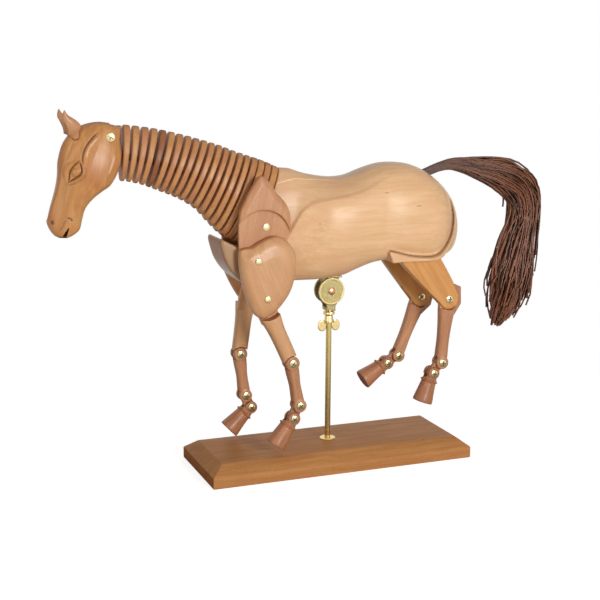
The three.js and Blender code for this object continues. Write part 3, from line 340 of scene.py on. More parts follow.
woods = table(("pale", "dark", "flush", "figure", "streak", "fleck", "blotch", "coat", "shine"), {
    "maple": ((240, 196, 148), (208, 150, 96), (232, 176, 132), 0.35, 0.75, 0.35, 0.45, 0.22, 0.25),
    "headMaple": ((210, 150, 88), (166, 102, 50), (192, 116, 68), 0.45, 0.8, 0.4, 0.5, 0.24, 0.25),
    "platePale": ((208, 150, 92), (158, 98, 52), (192, 126, 82), 0.45, 0.85, 0.75, 0.45, 0.16, 0.25),
    "platePink": ((202, 142, 90), (150, 90, 50), (188, 122, 82), 0.45, 0.85, 0.75, 0.5, 0.16, 0.25),
    "blockDark": ((160, 98, 56), (110, 62, 34), (142, 84, 50), 0.5, 0.8, 0.5, 0.3, 0.16, 0.25),
    "tan": ((208, 152, 108), (170, 114, 72), (194, 130, 94), 0.45, 0.75, 0.6, 0.55, 0.16, 0.25),
    "arm": ((220, 168, 120), (184, 130, 82), (208, 148, 106), 0.4, 0.65, 0.5, 0.5, 0.22, 0.25),
    "thigh": ((226, 164, 96), (186, 120, 58), (208, 138, 80), 0.55, 0.95, 0.4, 0.25, 0.16, 0.25),
    "leg": ((204, 146, 104), (156, 102, 68), (182, 120, 86), 0.55, 0.95, 0.6, 0.35, 0.22, 0.25),
    "hoof": ((192, 130, 90), (134, 82, 54), (166, 102, 72), 0.55, 1.0, 0.6, 0.35, 0.22, 0.25),
    "base": ((206, 146, 90), (166, 108, 60), (188, 124, 78), 0.5, 0.8, 0.75, 0.3, 0.0, 0.05),
})


def woodMaterial(name, kind, along, seed, marks=(), paintedShade=0.0):
    # a finish whose grain runs along a direction in the XZ plane, in degrees from +X towards +Z
    look = woods[kind]
    material, tree, surface = newMaterial(name)
    place, normal = (value(tree, "ShaderNodeTexCoord", key=key) for key in ("Object", "Normal"))
    a = math.radians(along)
    turned = value(tree, "ShaderNodeMapping", {
        "Vector": place, "Rotation": (0, a, 0), "Location": (0.37 * seed, 0.11 * seed, 0.23 * seed)})
    facing = calc("ABSOLUTE", calc("DOT_PRODUCT", normal, (math.cos(a), 0, math.sin(a))))
    grain = node(tree, "ShaderNodeGroup", node_tree=woodGrain)
    fill(grain, {"Vector": turned, "End Grain": ramp(facing, 0.72, 0.97)})
    fill(grain, {key.capitalize(): tone(*look[key]) for key in ("pale", "dark", "flush")})
    fill(grain, {key.capitalize(): look[key] for key in ("figure", "streak", "fleck", "blotch")})
    color, rough, height = (Value(grain.outputs[key]) for key in ("Color", "Roughness", "Height"))
    # a point attribute darkens the colour: painted shade in creases, narrow carved lines, pits and recesses,
    # and a darker front of the chest
    if paintedShade:
        shade = value(tree, "ShaderNodeAttribute", key="Fac", attribute_name="paintedShade")
        color = blendColor(calc("MULTIPLY", shade, paintedShade, clamp=True), color,
                           tone(*(c * 0.42 for c in look["dark"])))
    for middle, size, depth in marks:
        mask = value(tree, "ShaderNodeGroup", node_tree=woodMark)
        fill(mask.socket.node, {"Vector": place, "Place": Vector(middle) * mm, "Size": Vector(size) * mm})
        color = blendColor(mask * depth, color, tone(*(c * 0.5 for c in look["dark"])))
    bump = value(tree, "ShaderNodeBump", {"Height": height, "Strength": 0.12, "Distance": 0.0003})
    fill(surface, {"Base Color": color, "Roughness": rough, "Normal": bump, "Coat Weight": look["coat"],
                   "Coat Roughness": 0.24, "Specular IOR Level": look["shine"]})
    return material


# metal and hair


def patinaGroup():
    # mottling of brass: tarnish in the hollows and fine pits
    tree, given, result = newGroup("brassPatina", "ShaderNodeTree", {
        "Vector": ["Vector"], "Color": ["Bright", "Tarnish"], "Float": ["Amount", "Grain Size", "Polish"]},
        {"Color": ["Color"], "Float": ["Roughness", "Height"]})
    place = given["Vector"] * (1 / mm) / given["Grain Size"]
    spots, pits = noise(place, 1.1, 3.0, 0.6), noise(place, 4.0, 2.0, 0.6)
    cover = ramp(spots * 0.7 + pits * 0.3, 0.42, 0.6) * given["Amount"]
    fill(result, {"Color": blendColor(cover, given["Bright"], given["Tarnish"]),
                  "Roughness": given["Polish"] + cover * 0.35, "Height": spots + pits * 0.5})
    return tree


brassPatina = patinaGroup()
metals = table(("bright", "tarnish", "amount", "size", "polish", "bump"), {
    "polishedBrass": ((238, 214, 152), (168, 136, 76), 0.3, 1.6, 0.2, 0.04),
    "rodBrass": ((212, 188, 122), (160, 132, 74), 0.2, 6.0, 0.22, 0.03),
    "agedBrass": ((190, 174, 122), (78, 70, 42), 0.9, 0.62, 0.32, 0.5),
    "copperRivet": ((232, 160, 122), (150, 84, 58), 0.3, 1.0, 0.22, 0.05),
    # dark steel for the core wire, and also the painted shade in screw slots and under screw heads
    "darkSteelAndShade": ((110, 108, 104), (60, 56, 52), 0.5, 1.0, 0.4, 0.1),
})


def metalMaterial(name):
    look = metals[name]
    material, tree, surface = newMaterial(name)
    patina = node(tree, "ShaderNodeGroup", node_tree=brassPatina)
    fill(patina, {"Vector": value(tree, "ShaderNodeTexCoord", key="Object"), "Bright": tone(*look["bright"]),
                  "Tarnish": tone(*look["tarnish"]), "Amount": look["amount"], "Grain Size": look["size"],
                  "Polish": look["polish"]})
    color, rough, height = (Value(patina.outputs[key]) for key in ("Color", "Roughness", "Height"))
    bump = value(tree, "ShaderNodeBump", {"Height": height, "Strength": look["bump"], "Distance": 0.0004})
    fill(surface, {"Base Color": color, "Roughness": rough, "Normal": bump, "Metallic": 1.0})
    return material


metalOf = {name: metalMaterial(name) for name in metals}


def hairMaterial(name, root, tip, rough):
    # horsehair: each strand has its own tone, kept in an attribute of its points
    material, tree, surface = newMaterial(name)
    own = value(tree, "ShaderNodeAttribute", key="Fac", attribute_name="strandTone")
    along = noise(value(tree, "ShaderNodeTexCoord", key="Object") * (1 / mm), 0.35, 2.0)
    share = calc("ADD", own * 0.8, along * 0.25, clamp=True)
    fill(surface, {"Base Color": blendColor(share, tone(*root), tone(*tip)), "Roughness": rough,
                   "Specular IOR Level": 0.35})
    return material


print("materials")

# solids


def build(name, points, faces):
    mesh = bpy.data.meshes.new(name)
    mesh.from_pydata([tuple(p) for p in points], [], [tuple(f) for f in faces])
    mesh.update()
    made = bpy.data.objects.new(name, mesh)
    scene.collection.objects.link(made)
    return made


def volumeOf(points, faces):
    total = 0.0
    for face in faces:
        for i in range(1, len(face) - 1):
            a, b, c = points[face[0]], points[face[i]], points[face[i + 1]]
            total += float(np.dot(a, np.cross(b, c)))
    return total


def skin(rings, name="solid", flatEnds=False):
    # a closed skin over rings of equal count; flat ends may have any outline, others close on their middle
    rings = np.asarray(rings, float)
    count = rings.shape[1]
    points = list(rings.reshape(-1, 3))
    faces = []
    for r in range(len(rings) - 1):
        for i in range(count):
            j = (i + 1) % count
            faces.append((r * count + i, r * count + j, (r + 1) * count + j, (r + 1) * count + i))
    last = (len(rings) - 1) * count
    if flatEnds:
        faces.append(tuple(range(count))[::-1])
        faces.append(tuple(range(last, last + count)))
    else:
        points += [rings[0].mean(0), rings[-1].mean(0)]
        for i in range(count):
            j = (i + 1) % count
            faces.append((len(points) - 2, j, i))
            faces.append((len(points) - 1, last + i, last + j))
    if volumeOf(points, faces) < 0:
        faces = [f[::-1] for f in faces]
    return build(name, points, faces)


def crowned(outline, centre, layers, name="solid", flatEnds=False):
    # an outline in X and Z with a crowned face: each layer is a y and a share of the outline's size
    outline = np.asarray(outline, float)
    centre = np.asarray(centre, float)
    rings = []
    for y, size in layers:
        flat = centre + (outline - centre) * size
        rings.append(np.column_stack([flat[:, 0], np.full(len(flat), y), flat[:, 1]]))
    return skin(rings, name, flatEnds)


def board(outline, y0, y1, edge=0.0, name="solid"):
    # A flat board from y0 to y1 whose outline is drawn in near its faces to round the edge
    outline = np.asarray(outline, float)
    if not edge:
        return crowned(outline, outline.mean(0), [(y0, 1), (y1, 1)], name, True)
    following = np.roll(outline, -1, 0) - np.roll(outline, 1, 0)
    inward = np.column_stack([-following[:, 1], following[:, 0]])
    inward /= np.linalg.norm(inward, axis=1)[:, None] + 1e-9
    if np.sum((outline.mean(0) - outline) * inward) < 0:
        inward = -inward
    turns = np.radians([0, 30, 60, 90])
    layers = [(y0 + edge * (1 - math.cos(t)), edge * (1 - math.sin(t))) for t in turns]
    layers += [(y1 - (y - y0), inset) for y, inset in reversed(layers)]
    rings = [np.column_stack([outline[:, 0] + inward[:, 0] * d, np.full(len(outline), y),
                              outline[:, 1] + inward[:, 1] * d]) for y, d in layers]
    return skin(rings, name, True)


def turnedSolid(profile, axis, sides, name="solid"):
    # A solid of revolution from (radius, place) pairs, closed on its axis
    angles = fullTurn(sides)
    rings = []
    for radius, place in profile:
        radius = max(radius, 0.01)
        round2 = np.column_stack([radius * np.cos(angles), radius * np.sin(angles)])
        level = np.full(sides, place)
        rings.append(np.column_stack([round2[:, 0], round2[:, 1], level] if axis == "Z"
                                     else [round2[:, 0], level, round2[:, 1]]))
    return skin(rings, name)


def drum(radius, y0, y1, sides=40):
    # A round bar across Y
    return turnedSolid([(radius, y0), (radius, y1)], "Y", sides)


def box(x0, x1, y0, y1, z0, z1):
    return board([(x0, z0), (x1, z0), (x1, z1), (x0, z1)], y0, y1)


def settle(thing):
    # turns a piece's modifiers into its mesh
    shapes = bpy.context.evaluated_depsgraph_get()
    shapes.update()
    mesh = bpy.data.meshes.new_from_object(thing.evaluated_get(shapes), depsgraph=shapes)
    thing.modifiers.clear()
    old = thing.data
    thing.data = mesh
    if old.users == 0:
        bpy.data.meshes.remove(old)
    return thing


def discard(things):
    for thing in things:
        mesh = thing.data
        bpy.data.objects.remove(thing)
        if mesh.users == 0:
            bpy.data.meshes.remove(mesh)


def combine(body, others, operation):
    for other in others:
        change = body.modifiers.new("change", "BOOLEAN")
        change.operation = operation
        change.solver = "EXACT"
        change.object = other
    settle(body)
    discard(others)
    return body


def cut(body, *tools):
    return combine(body, tools, "DIFFERENCE")


def join(body, *more):
    return combine(body, more, "UNION")


def overlap(body, *others):
    return combine(body, others, "INTERSECT")


def sand(thing, voxel, passes):
    # remeshes a solid evenly and softens its edges as sanding does
    remesh = thing.modifiers.new("even", "REMESH")
    remesh.mode = "VOXEL"
    remesh.voxel_size = voxel * 1
    soften = thing.modifiers.new("soften", "SMOOTH")
    soften.factor = 0.5
    soften.iterations = max(1, passes // (1))
    return settle(thing)


def hang(thing, at, degrees):
    # places a piece that was made hanging along -Z from its pivot; degrees are towards the tail
    turn = Matrix.Rotation(-math.radians(degrees), 4, "Y")
    thing.data.transform(Matrix.Translation((at[0], 0, at[1])) @ turn)
    return thing


def moved(thing, x, y, z):
    thing.data.transform(Matrix.Translation((x, y, z)))
    return thing


def flipped(thing):
    thing.data.transform(Matrix.Diagonal((1, -1, 1, 1)))
    thing.data.flip_normals()
    return thing


def dress(thing, body, material, replaced, slot, crisp=None):
    # gives a finished solid its size in metres, its finish and its place in the model
    thing.data.transform(Matrix.Scale(mm, 4))
    if material:
        thing.data.materials.clear()
        thing.data.materials.append(material)
    thing.data.shade_smooth()
    if crisp:
        thing.data.set_sharp_from_angle(angle=math.radians(crisp))
    thing.data.update()
    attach(thing, body)
    if replaced:
        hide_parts(*replaced)
    return thing


def pointsOf(thing):
    places = np.empty(len(thing.data.vertices) * 3)
    thing.data.vertices.foreach_get("co", places)
    normals = np.empty_like(places)
    thing.data.vertices.foreach_get("normal", normals)
    return places.reshape(-1, 3), normals.reshape(-1, 3)


def setPoints(thing, places):
    thing.data.vertices.foreach_set("co", places.ravel())
    thing.data.update()


def keepShade(thing, shade):
    # keeps a point attribute by which the wood's colour is darkened, mostly the painted shade of creases,
    # lines and recesses
    thing.data.attributes.new("paintedShade", "FLOAT", "POINT").data.foreach_set("value", shade.astype(np.float32))


def awayFrom(points, route):
    # distance of 2D points from a polyline, the side of it they lie on, and how far along they are
    best = np.full(len(points), 1e9)
    side = np.zeros(len(points))
    share = np.zeros(len(points))
    route = np.asarray(route, float)
    lengths = np.linalg.norm(np.diff(route, axis=0), axis=1)
    done = 0.0
    for a, b, length in zip(route[:-1], route[1:], lengths):
        along = np.clip(((points - a) @ (b - a)) / length ** 2, 0, 1)
        offset = points - (a + along[:, None] * (b - a))
        distance = np.linalg.norm(offset, axis=1)
        nearer = distance < best
        best = np.where(nearer, distance, best)
        cross = (b - a)[0] * offset[:, 1] - (b - a)[1] * offset[:, 0]
        side = np.where(nearer, np.sign(cross), side)
        share = np.where(nearer, (done + along * length) / lengths.sum(), share)
        done += length
    return best, side, share


def between(p0, p1, p2, p3, t):
    # a point of the smooth curve that runs through p1 and p2
    return 0.5 * (2 * p1 + (p2 - p0) * t + (2 * p0 - 5 * p1 + 4 * p2 - p3) * t ** 2
                  + (3 * p1 - p0 - 3 * p2 + p3) * t ** 3)


def smoothRoute(points, steps=8):
    # a denser line through a few points
    points = np.asarray(points, float)
    out = []
    for i in range(len(points) - 1):
        p0, p1 = points[max(i - 1, 0)], points[i]
        p2, p3 = points[i + 1], points[min(i + 2, len(points) - 1)]
        out += [between(p0, p1, p2, p3, t) for t in np.linspace(0, 1, steps, endpoint=False)]
    out.append(points[-1])
    return np.array(out)


def closedOutline(points, count):
    # A closed smooth outline through a few points, evenly spaced
    points = np.asarray(points, float)
    n = len(points)
    dense = []
    for i in range(n):
        p0, p1, p2, p3 = (points[(i + k) % n] for k in (-1, 0, 1, 2))
        dense += [between(p0, p1, p2, p3, t) for t in np.linspace(0, 1, 24, endpoint=False)]
    dense = np.array(dense + [dense[0]])
    lengths = np.concatenate([[0], np.cumsum(np.linalg.norm(np.diff(dense, axis=0), axis=1))])
    marks = np.linspace(0, lengths[-1], count, endpoint=False)
    return np.column_stack([np.interp(marks, lengths, dense[:, k]) for k in (0, 1)])


def arc(x, z, radius, start, end, count):
    angles = np.radians(np.linspace(start, end, count + 1))
    return [(x + radius * math.cos(a), z + radius * math.sin(a)) for a in angles]


def ball(radius, rings, sides):
    turns = np.linspace(0.02, 3.12, rings)
    return turnedSolid([(radius * math.sin(t), -radius * math.cos(t)) for t in turns], "Z", sides)


def turnedPoints(points, degrees):
    c, s = math.cos(math.radians(degrees)), math.sin(math.radians(degrees))
    return [(x * c - z * s, x * s + z * c) for x, z in points]


def line(pairs):
    # A value that runs smoothly through [place, value] pairs
    places = [p[0] for p in pairs]
    values = [p[1] for p in pairs]
    last = len(pairs) - 1

    def at(x):
        if x <= places[0]:
            return values[0]
        if x >= places[last]:
            return values[last]
        k = next(i for i in range(last) if places[i + 1] > x)

        def slope(i):
            lo, hi = max(i - 1, 0), min(i + 1, last)
            return (values[hi] - values[lo]) / (places[hi] - places[lo])
        w = places[k + 1] - places[k]
        t = (x - places[k]) / w
        return (values[k] * (1 + 2 * t) * (1 - t) ** 2 + slope(k) * w * t * (1 - t) ** 2
                + values[k + 1] * t * t * (3 - 2 * t) + slope(k + 1) * w * t * t * (t - 1))
    return at


def bend(value, power):
    # turns a circle's sine or cosine into that of a fuller oval
    return np.sign(value) * np.abs(value) ** (2 / power)


def fadeEnds(share, start, end):
    # 0 at both ends of a line and 1 away from them
    return np.clip(share / start, 0, 1) * np.clip((1 - share) / end, 0, 1)


# torso, measured from the rivet's axis

torso = {
    "reach": 122.5, "tall": 110.0, "chestHalf": 19.5, "barrelHalf": 31.0, "haunchHalf": 30.5,
    "voxel": 0.9, "sides": 112, "domeStep": 1.5, "rollDepth": 4.6, "hollowDepth": 2.4,
    "start": -38, "rump": 112, "rumpRound": 10.5,
    "slotMiddle": 19, "slotHalf": 4.9, "slotRoom": 0.7, "swing": (3, 42),
    "recess": (-13.3, 13.3, -8.3, 8.3, 0, 13.9), "tailHole": [(3.7, -9), (3.7, 12)],
    # the rim below each haunch: in side view, its two faces, and half of it from above
    "lip": [(42.8, 35.4), (44.2, 31.5), (47.0, 25.2), (55.9, 26.0), (66, 25.6), (77.9, 25.2), (88.2, 25.4),
            (96.5, 27.4), (104.6, 34.2), (110.2, 47.0), (112.4, 57.2), (112.0, 66), (110.8, 66), (109.4, 57),
            (107.4, 49), (103, 41.8), (96.4, 34.8), (89.5, 31.0), (81, 30.1), (66, 31.8), (53.2, 35.0),
            (44.6, 36.2)],
    "lipFaces": (14.2, 30.2),
    "lipPlan": [(38, 30.2), (84, 30.2), (90, 29.2), (94, 28.0), (98, 26.2), (101, 24.7), (105, 22.5),
                (109, 20.1), (113, 16.8)],
    # along the barrel: a place as a share of the reach, and a height as a share of the whole or a fullness
    "back": [[-0.3837, 1], [-0.2204, 0.9364], [-0.098, 0.9082], [0.0082, 0.8964], [0.1224, 0.9082],
             [0.2367, 0.9518], [0.3592, 0.99], [0.4735, 0.9964], [0.5959, 0.9773], [0.7184, 0.9191],
             [0.8245, 0.8355], [0.9143, 0.7282], [0.9714, 0.6091], [1, 0.5]],
    "belly": [[-0.3837, 0.1018], [-0.2204, 0.0991], [-0.0571, 0.0982], [0.0816, 0.1182], [0.1714, 0.1564],
              [0.2939, 0.21], [0.4082, 0.2509], [0.4898, 0.2455], [0.8163, 0.2455], [0.9143, 0.2591],
              [0.9714, 0.3091], [1, 0.3818]],
    "widest": [[-0.3837, 0.5273], [-0.0816, 0.5273], [0.2449, 0.5455], [0.5714, 0.5273], [0.898, 0.4909],
               [1, 0.4545]],
    "fullAbove": [[-0.3837, 2.1], [0, 2.3], [0.3265, 2.5], [0.6122, 2.3], [1, 2]],
    "fullBelow": [[-0.3837, 2.6], [0, 2.1], [0.2939, 2.6], [0.4082, 5], [0.7755, 5], [0.9143, 3], [1, 2]],
    "dome": [(40, 60), (44.6, 36.0), (53.2, 34.0), (66.0, 30.9), (81.0, 29.1), (89.6, 30.0), (97.0, 33.4),
             (103.8, 40.8), (108.2, 48.2), (110.4, 57), (109.8, 68), (104.6, 84), (90, 98), (80, 120),
             (40, 120)],
    # the two carved lines in side view
    "groove": [(108.0, 84), (110.6, 74), (111.3, 63.1), (109.4, 49.8), (104.8, 40.9), (97.4, 33.6),
               (89.8, 29.9), (81.0, 29.2), (66.0, 30.8), (53.2, 34.1), (42.0, 37.0)],
    "facet": [(-49.1, 50.0), (-41.3, 61.7), (-33.1, 74.0), (-23.8, 80.1), (-11.2, 82.9), (4, 85.0),
              (20.6, 89.3), (38.9, 97.2), (53.7, 104.3)],
}


tailRoot, tailAim = np.array([90.0, 99.0]), np.array([0.93, 0.36])


def scaledLine(key, tall):
    return line([(x * torso["reach"], v * tall) for x, v in torso[key]])


backLine, bellyLine, widestLine = (scaledLine(k, torso["tall"]) for k in ("back", "belly", "widest"))
fullAbove, fullBelow = scaledLine("fullAbove", 1), scaledLine("fullBelow", 1)
barrelHalf, haunchHalf, chestHalf = torso["barrelHalf"], torso["haunchHalf"], torso["chestHalf"]
flanks = (  # half the breadth along the body, as shares of the chest's, the barrel's and the haunches'
    (chestHalf, ((-38, 1.062),)),
    (barrelHalf, ((-27, 0.774), (-10, 0.948), (8, 1), (28, 0.974))),
    (haunchHalf, ((44, 0.951), (64, 0.951), (84, 0.934), (98, 0.836), (109, 0.639), (116, 0.426),
                  (120.5, 0.213), (122.5, 0.098))),
)
flankLine = line([(-47, chestHalf - 0.3), *((x, half * share) for half, row in flanks for x, share in row)])
domeGrow = line([(0.33 * torso["reach"], 0), (0.51 * torso["reach"], torso["domeStep"]),
                 (torso["reach"], torso["domeStep"])])


def torsoRing(x, proud=0.0):
    angles = fullTurn(torso["sides"])
    middle = widestLine(x)
    up, over = np.sin(angles), np.cos(angles)
    power = np.where(up > 0, fullAbove(x), fullBelow(x))
    reach = np.where(up > 0, backLine(x) - middle, middle - bellyLine(x))
    return np.column_stack([np.full(len(angles), x), (flankLine(x) + proud) * bend(over, power),
                            middle + reach * bend(up, power)])


# neck: gap k lies on the head's side of plate k + 1; gap 20 is at the torso

neck = {
    "relief": 0.32,  # how much thinner a plate is on each side than its solid
    "root": (-63.8, 74.6), "lean": 25.2, "bend": 19.1, "bent": 12, "count": 20, "pitch": 6.35,
    "gap": 1.35, "tight": 0.65, "tightGaps": 4, "round": 1.1, "hole": 3.1,
    "halfRoot": 36.8, "wideHead": 9.5, "wideRoot": 16.8, "wire": (2.0, 2.4, 2.4, 2.0), "wireIn": 7.7,
    # heights above and below the core, as shares of the height at the torso
    "crest": [[0, 0.693], [0.1, 0.696], [0.2, 0.726], [0.3, 0.758], [0.4, 0.807], [0.5, 0.851], [0.6, 0.894],
              [0.7, 0.916], [0.8, 0.959], [0.9, 0.989], [1, 1]],
    "keel": [[0, 0.527], [0.1, 0.53], [0.2, 0.543], [0.3, 0.565], [0.4, 0.568], [0.5, 0.582], [0.6, 0.641],
             [0.7, 0.783], [0.8, 0.913], [0.9, 0.973], [1, 1]],
}
crestLine, keelLine = line(neck["crest"]), line(neck["keel"])


def leanAt(k):
    return neck["lean"] - neck["bend"] * (max(0, neck["bent"] + 1 - k) / neck["bent"]) ** 2


def gapSize(k):
    return neck["tight"] if k > neck["count"] - neck["tightGaps"] else neck["gap"]


def neckGaps():
    found = {}
    point = np.array(neck["root"])
    for k in range(neck["count"], -1, -1):
        lean = neck["lean"] if k == neck["count"] else (leanAt(k) + leanAt(k + 1)) / 2
        found[k] = {"point": point.copy(), "lean": lean, "size": gapSize(k)}
        step = math.radians(leanAt(k))
        point = point - neck["pitch"] * np.array([math.cos(step), -math.sin(step)])
    return found


gaps = neckGaps()


def neckNormal(lean):
    return np.array([math.cos(math.radians(lean)), -math.sin(math.radians(lean))])


def neckUp(lean):
    return np.array([math.sin(math.radians(lean)), math.cos(math.radians(lean))])


def plateHeights(k):
    # half the height of the plate's face at gap k, and how far its middle lies above the core
    crest, keel = (f(k / neck["count"]) * neck["halfRoot"] for f in (crestLine, keelLine))
    return (crest + keel) / 2, (crest - keel) / 2


def halfWidth(k):
    return neck["wideHead"] + (neck["wideRoot"] - neck["wideHead"]) * (k / neck["count"]) ** 1.2


def plateRing(k, along, sides):
    gap = gaps[k]
    normal, up = neckNormal(gap["lean"]), neckUp(gap["lean"])
    angles = fullTurn(sides)
    tall, lift = plateHeights(k)
    height = lift + tall * bend(np.sin(angles), 2.1)
    narrow = 1 - 0.18 * np.maximum(0, np.sin(angles))
    flat = gap["point"] + normal * along + height[:, None] * up
    return np.column_stack([flat[:, 0], halfWidth(k) * narrow * bend(np.cos(angles), 2.2), flat[:, 1]])


# torso solid


def chestBlock():
    up, normal = neckUp(neck["lean"]), neckNormal(neck["lean"])
    root = np.array(neck["root"])  # the slanting face that the last plate lies against starts here
    foot = root - up * (neck["halfRoot"] + 1.4)
    inner = root + normal * 1.5 + up * 8
    tip = foot - normal * 25.9 + up
    front = smoothRoute([(-64, 10.2), (-78, 10.5), (-90.4, 19.3), (-98.8, 30.6), (-102.4, 40.5),
                         (tip[0] - 1.3, tip[1] - 3.6), (tip[0] - 0.7, tip[1] - 0.9)], 5)
    outline = [foot, foot + normal * 1.5 + up * 1.5, inner, (-41, 66), (-41, 12), *front, tip]
    layers = [(deep - chestHalf, size) for deep, size in ((0, 0.93), (0.6, 0.965), (1.6, 0.99), (3, 1))]
    layers += [(-y, s) for y, s in reversed(layers)]
    return crowned(outline, (-66, 32), layers)


def thighSlot(side):
    # the space that the thigh board passes through as it swings
    hip = jointAt["left_hip"]
    room = torso["slotRoom"]
    low, high = torso["swing"]
    front = turnedPoints([(-21 - room, 0), (-21 - room, -20), (-21 - room, -60)], low)
    rear = turnedPoints([(12.5 + room, -2), (12.5 + room, -70)], high)
    outline = [front[2], front[1], front[0], *arc(-4, 0, 17 + room, 172, 60, 8), *rear]
    outline = [(x + hip[0], z + hip[2] - rivetZ) for x, z in outline]
    middle, half = side * torso["slotMiddle"], torso["slotHalf"]
    return board(outline, middle - half, middle + half)


def carveTorso(thing):
    places, normals = pointsOf(thing)
    flat = places[:, [0, 2]]
    x, z = flat.T
    inward = -np.sign(places[:, 1])
    onSide = np.clip((np.abs(normals[:, 1]) - 0.25) / 0.3, 0, 1)
    far = np.abs(places[:, 1]) > 12

    # the crease under the dome of the haunch: a long roll above it and a steep lip below it
    away, side, share = awayFrom(flat, smoothRoute(torso["groove"]))
    roll = np.where(side < 0, np.exp(-(away / 6.5) ** 1.4), np.exp(-(away / 0.6) ** 2))
    places[:, 1] += inward * torso["rollDepth"] * roll * fadeEnds(share, 0.16, 0.13) * far
    # painted shade along the crease itself
    paintedCreaseShade = np.exp(-(away / 0.8) ** 2) * fadeEnds(share, 0.16, 0.02) * far

    # the planed hollow between the shoulder blade, the back and the barrel
    away, side, share = awayFrom(flat, smoothRoute(torso["facet"]))
    above = side > 0
    hollow = np.where(above, np.exp(-(away / 20) ** 2), np.exp(-(away / 1.1) ** 2) * 0.9)
    fade = np.clip(share / 0.05, 0, 1) * np.clip((1 - share) / 0.45, 0, 1) ** 0.8
    places[:, 1] += inward * torso["hollowDepth"] * hollow * fade * onSide * far
    # painted shade on the hollow above the line, which faces away from the light
    paintedHollowShade = 0.16 * np.where(above, np.exp(-(away / 26) ** 2), 0) * fade

    # darker on the front of the chest, and painted shade on the face behind the last plate
    chest = 0.62 * np.clip((-83 - x) / 3, 0, 1) * np.clip((64 - z) / 4, 0, 1)
    paintedShadeBehindPlates = 0.9 * ((x < -60) & (x > -84) & (np.abs(places[:, 1]) < 17) & (normals[:, 0] < -0.4))
    keepShade(thing, np.max([paintedCreaseShade, chest, paintedShadeBehindPlates, paintedHollowShade], axis=0))
    setPoints(thing, places)


def makeTorso():
    start, rump = torso["start"], torso["rump"]
    face = plateRing(neck["count"], neck["tight"] / 2, torso["sides"])
    barrel = torsoRing(start)
    rings = [face + (barrel - face) * t for t in np.linspace(0, 1, 14)[:-1]]
    stations = [*np.linspace(start, rump, 96),
                *(rump + torso["rumpRound"] * np.sin(np.linspace(0.1, math.pi / 2, 16)))]
    rings += [torsoRing(x) for x in stations]
    body = skin(rings, "torsoWood")
    domes = skin([torsoRing(x, domeGrow(x)) for x in stations if x > 0.28 * torso["reach"]], "domes")
    overlap(domes, board(closedOutline(torso["dome"], 140), -36, 36))
    near, out = torso["lipFaces"]
    paintedMouthShade = [board(torso["lip"], near, out), board(torso["lip"], -out, -near)]
    for lip in paintedMouthShade:
        plan = board(torso["lipPlan"] + [(x, -y) for x, y in torso["lipPlan"][::-1]], -60, 90)
        plan.data.transform(Matrix.Rotation(math.radians(90), 4, "X"))
        overlap(lip, plan)
    join(body, chestBlock(), domes, *paintedMouthShade)
    hole = turnedSolid(torso["tailHole"], "Z", 32)
    hole.data.transform(Matrix.Rotation(math.atan2(*tailAim), 4, "Y"))
    moved(hole, tailRoot[0], 0, tailRoot[1])
    cut(body, hole, box(*torso["recess"]), thighSlot(1), thighSlot(-1))
    sand(body, torso["voxel"], 7)
    carveTorso(body)
    moved(body, 0, 0, rivetZ)
    marks = [((41, -30, 238), (2.6, 9, 0.8), 0.55), ((70, -30, 226), (3.6, 9, 0.7), 0.6),
             ((-20, -30, 214), (1.2, 9, 1.4), 0.4), ((-22, -30, 178), (1.8, 9, 1.3), 0.5)]
    dress(body, "torso", woodMaterial("torsoMaple", "maple", 0, 1.3, marks, 0.85), ["torso"], "maple")


makeTorso()
print("torso")

# small shapes that several pieces share


def limb(stations, power=2.6, steps=44):
    # a limb along -Z from stations of depth, forward shift, half breadth and half thickness
    sides = 48
    rows = np.asarray(stations, float)
    lines = [line(list(zip(rows[:, 0], rows[:, k]))) for k in (1, 2, 3)]
    angles = fullTurn(sides)
    rings = []
    for depth in np.linspace(rows[0, 0], rows[-1, 0], steps):
        shift, breadth, thick = (f(depth) for f in lines)
        rings.append(np.column_stack([shift + breadth * bend(np.cos(angles), power),
                                      thick * bend(np.sin(angles), power), np.full(sides, -depth)]))
    return skin(rings, "limb")


def knuckle(radius, half, z=0.0):
    return board(arc(0, z, radius, 0, 352, 44), -half, half, 1.1, "knuckle")


def sweptBelow(radius, low, high, z=0.0):
    # the room that a round-ended neighbour of this radius needs, hanging below the pivot at z
    reach = 30.0
    start, stop = math.radians(high), math.pi - math.radians(-low)
    angles = np.linspace(start, stop, 17)
    points = [(radius * math.cos(a), z + radius * math.sin(a)) for a in angles]
    first, last = points[0], points[-1]
    points.insert(0, (first[0] + reach * math.sin(start), first[1] - reach * math.cos(start)))
    points.append((last[0] - reach * math.sin(stop), last[1] + reach * math.cos(stop)))
    return points


def upended(points):
    return [(x, -z) for x, z in points]


def faceAt(thing, x, z):
    # where the outer face of a finished solid lies at a place in side view, in millimetres
    places, _ = pointsOf(thing)
    near = np.hypot(places[:, 0] - x, places[:, 2] - z) < 1.3
    return float(places[near, 1].max())


# head, in its own frame: down the face, and forward from the poll screw

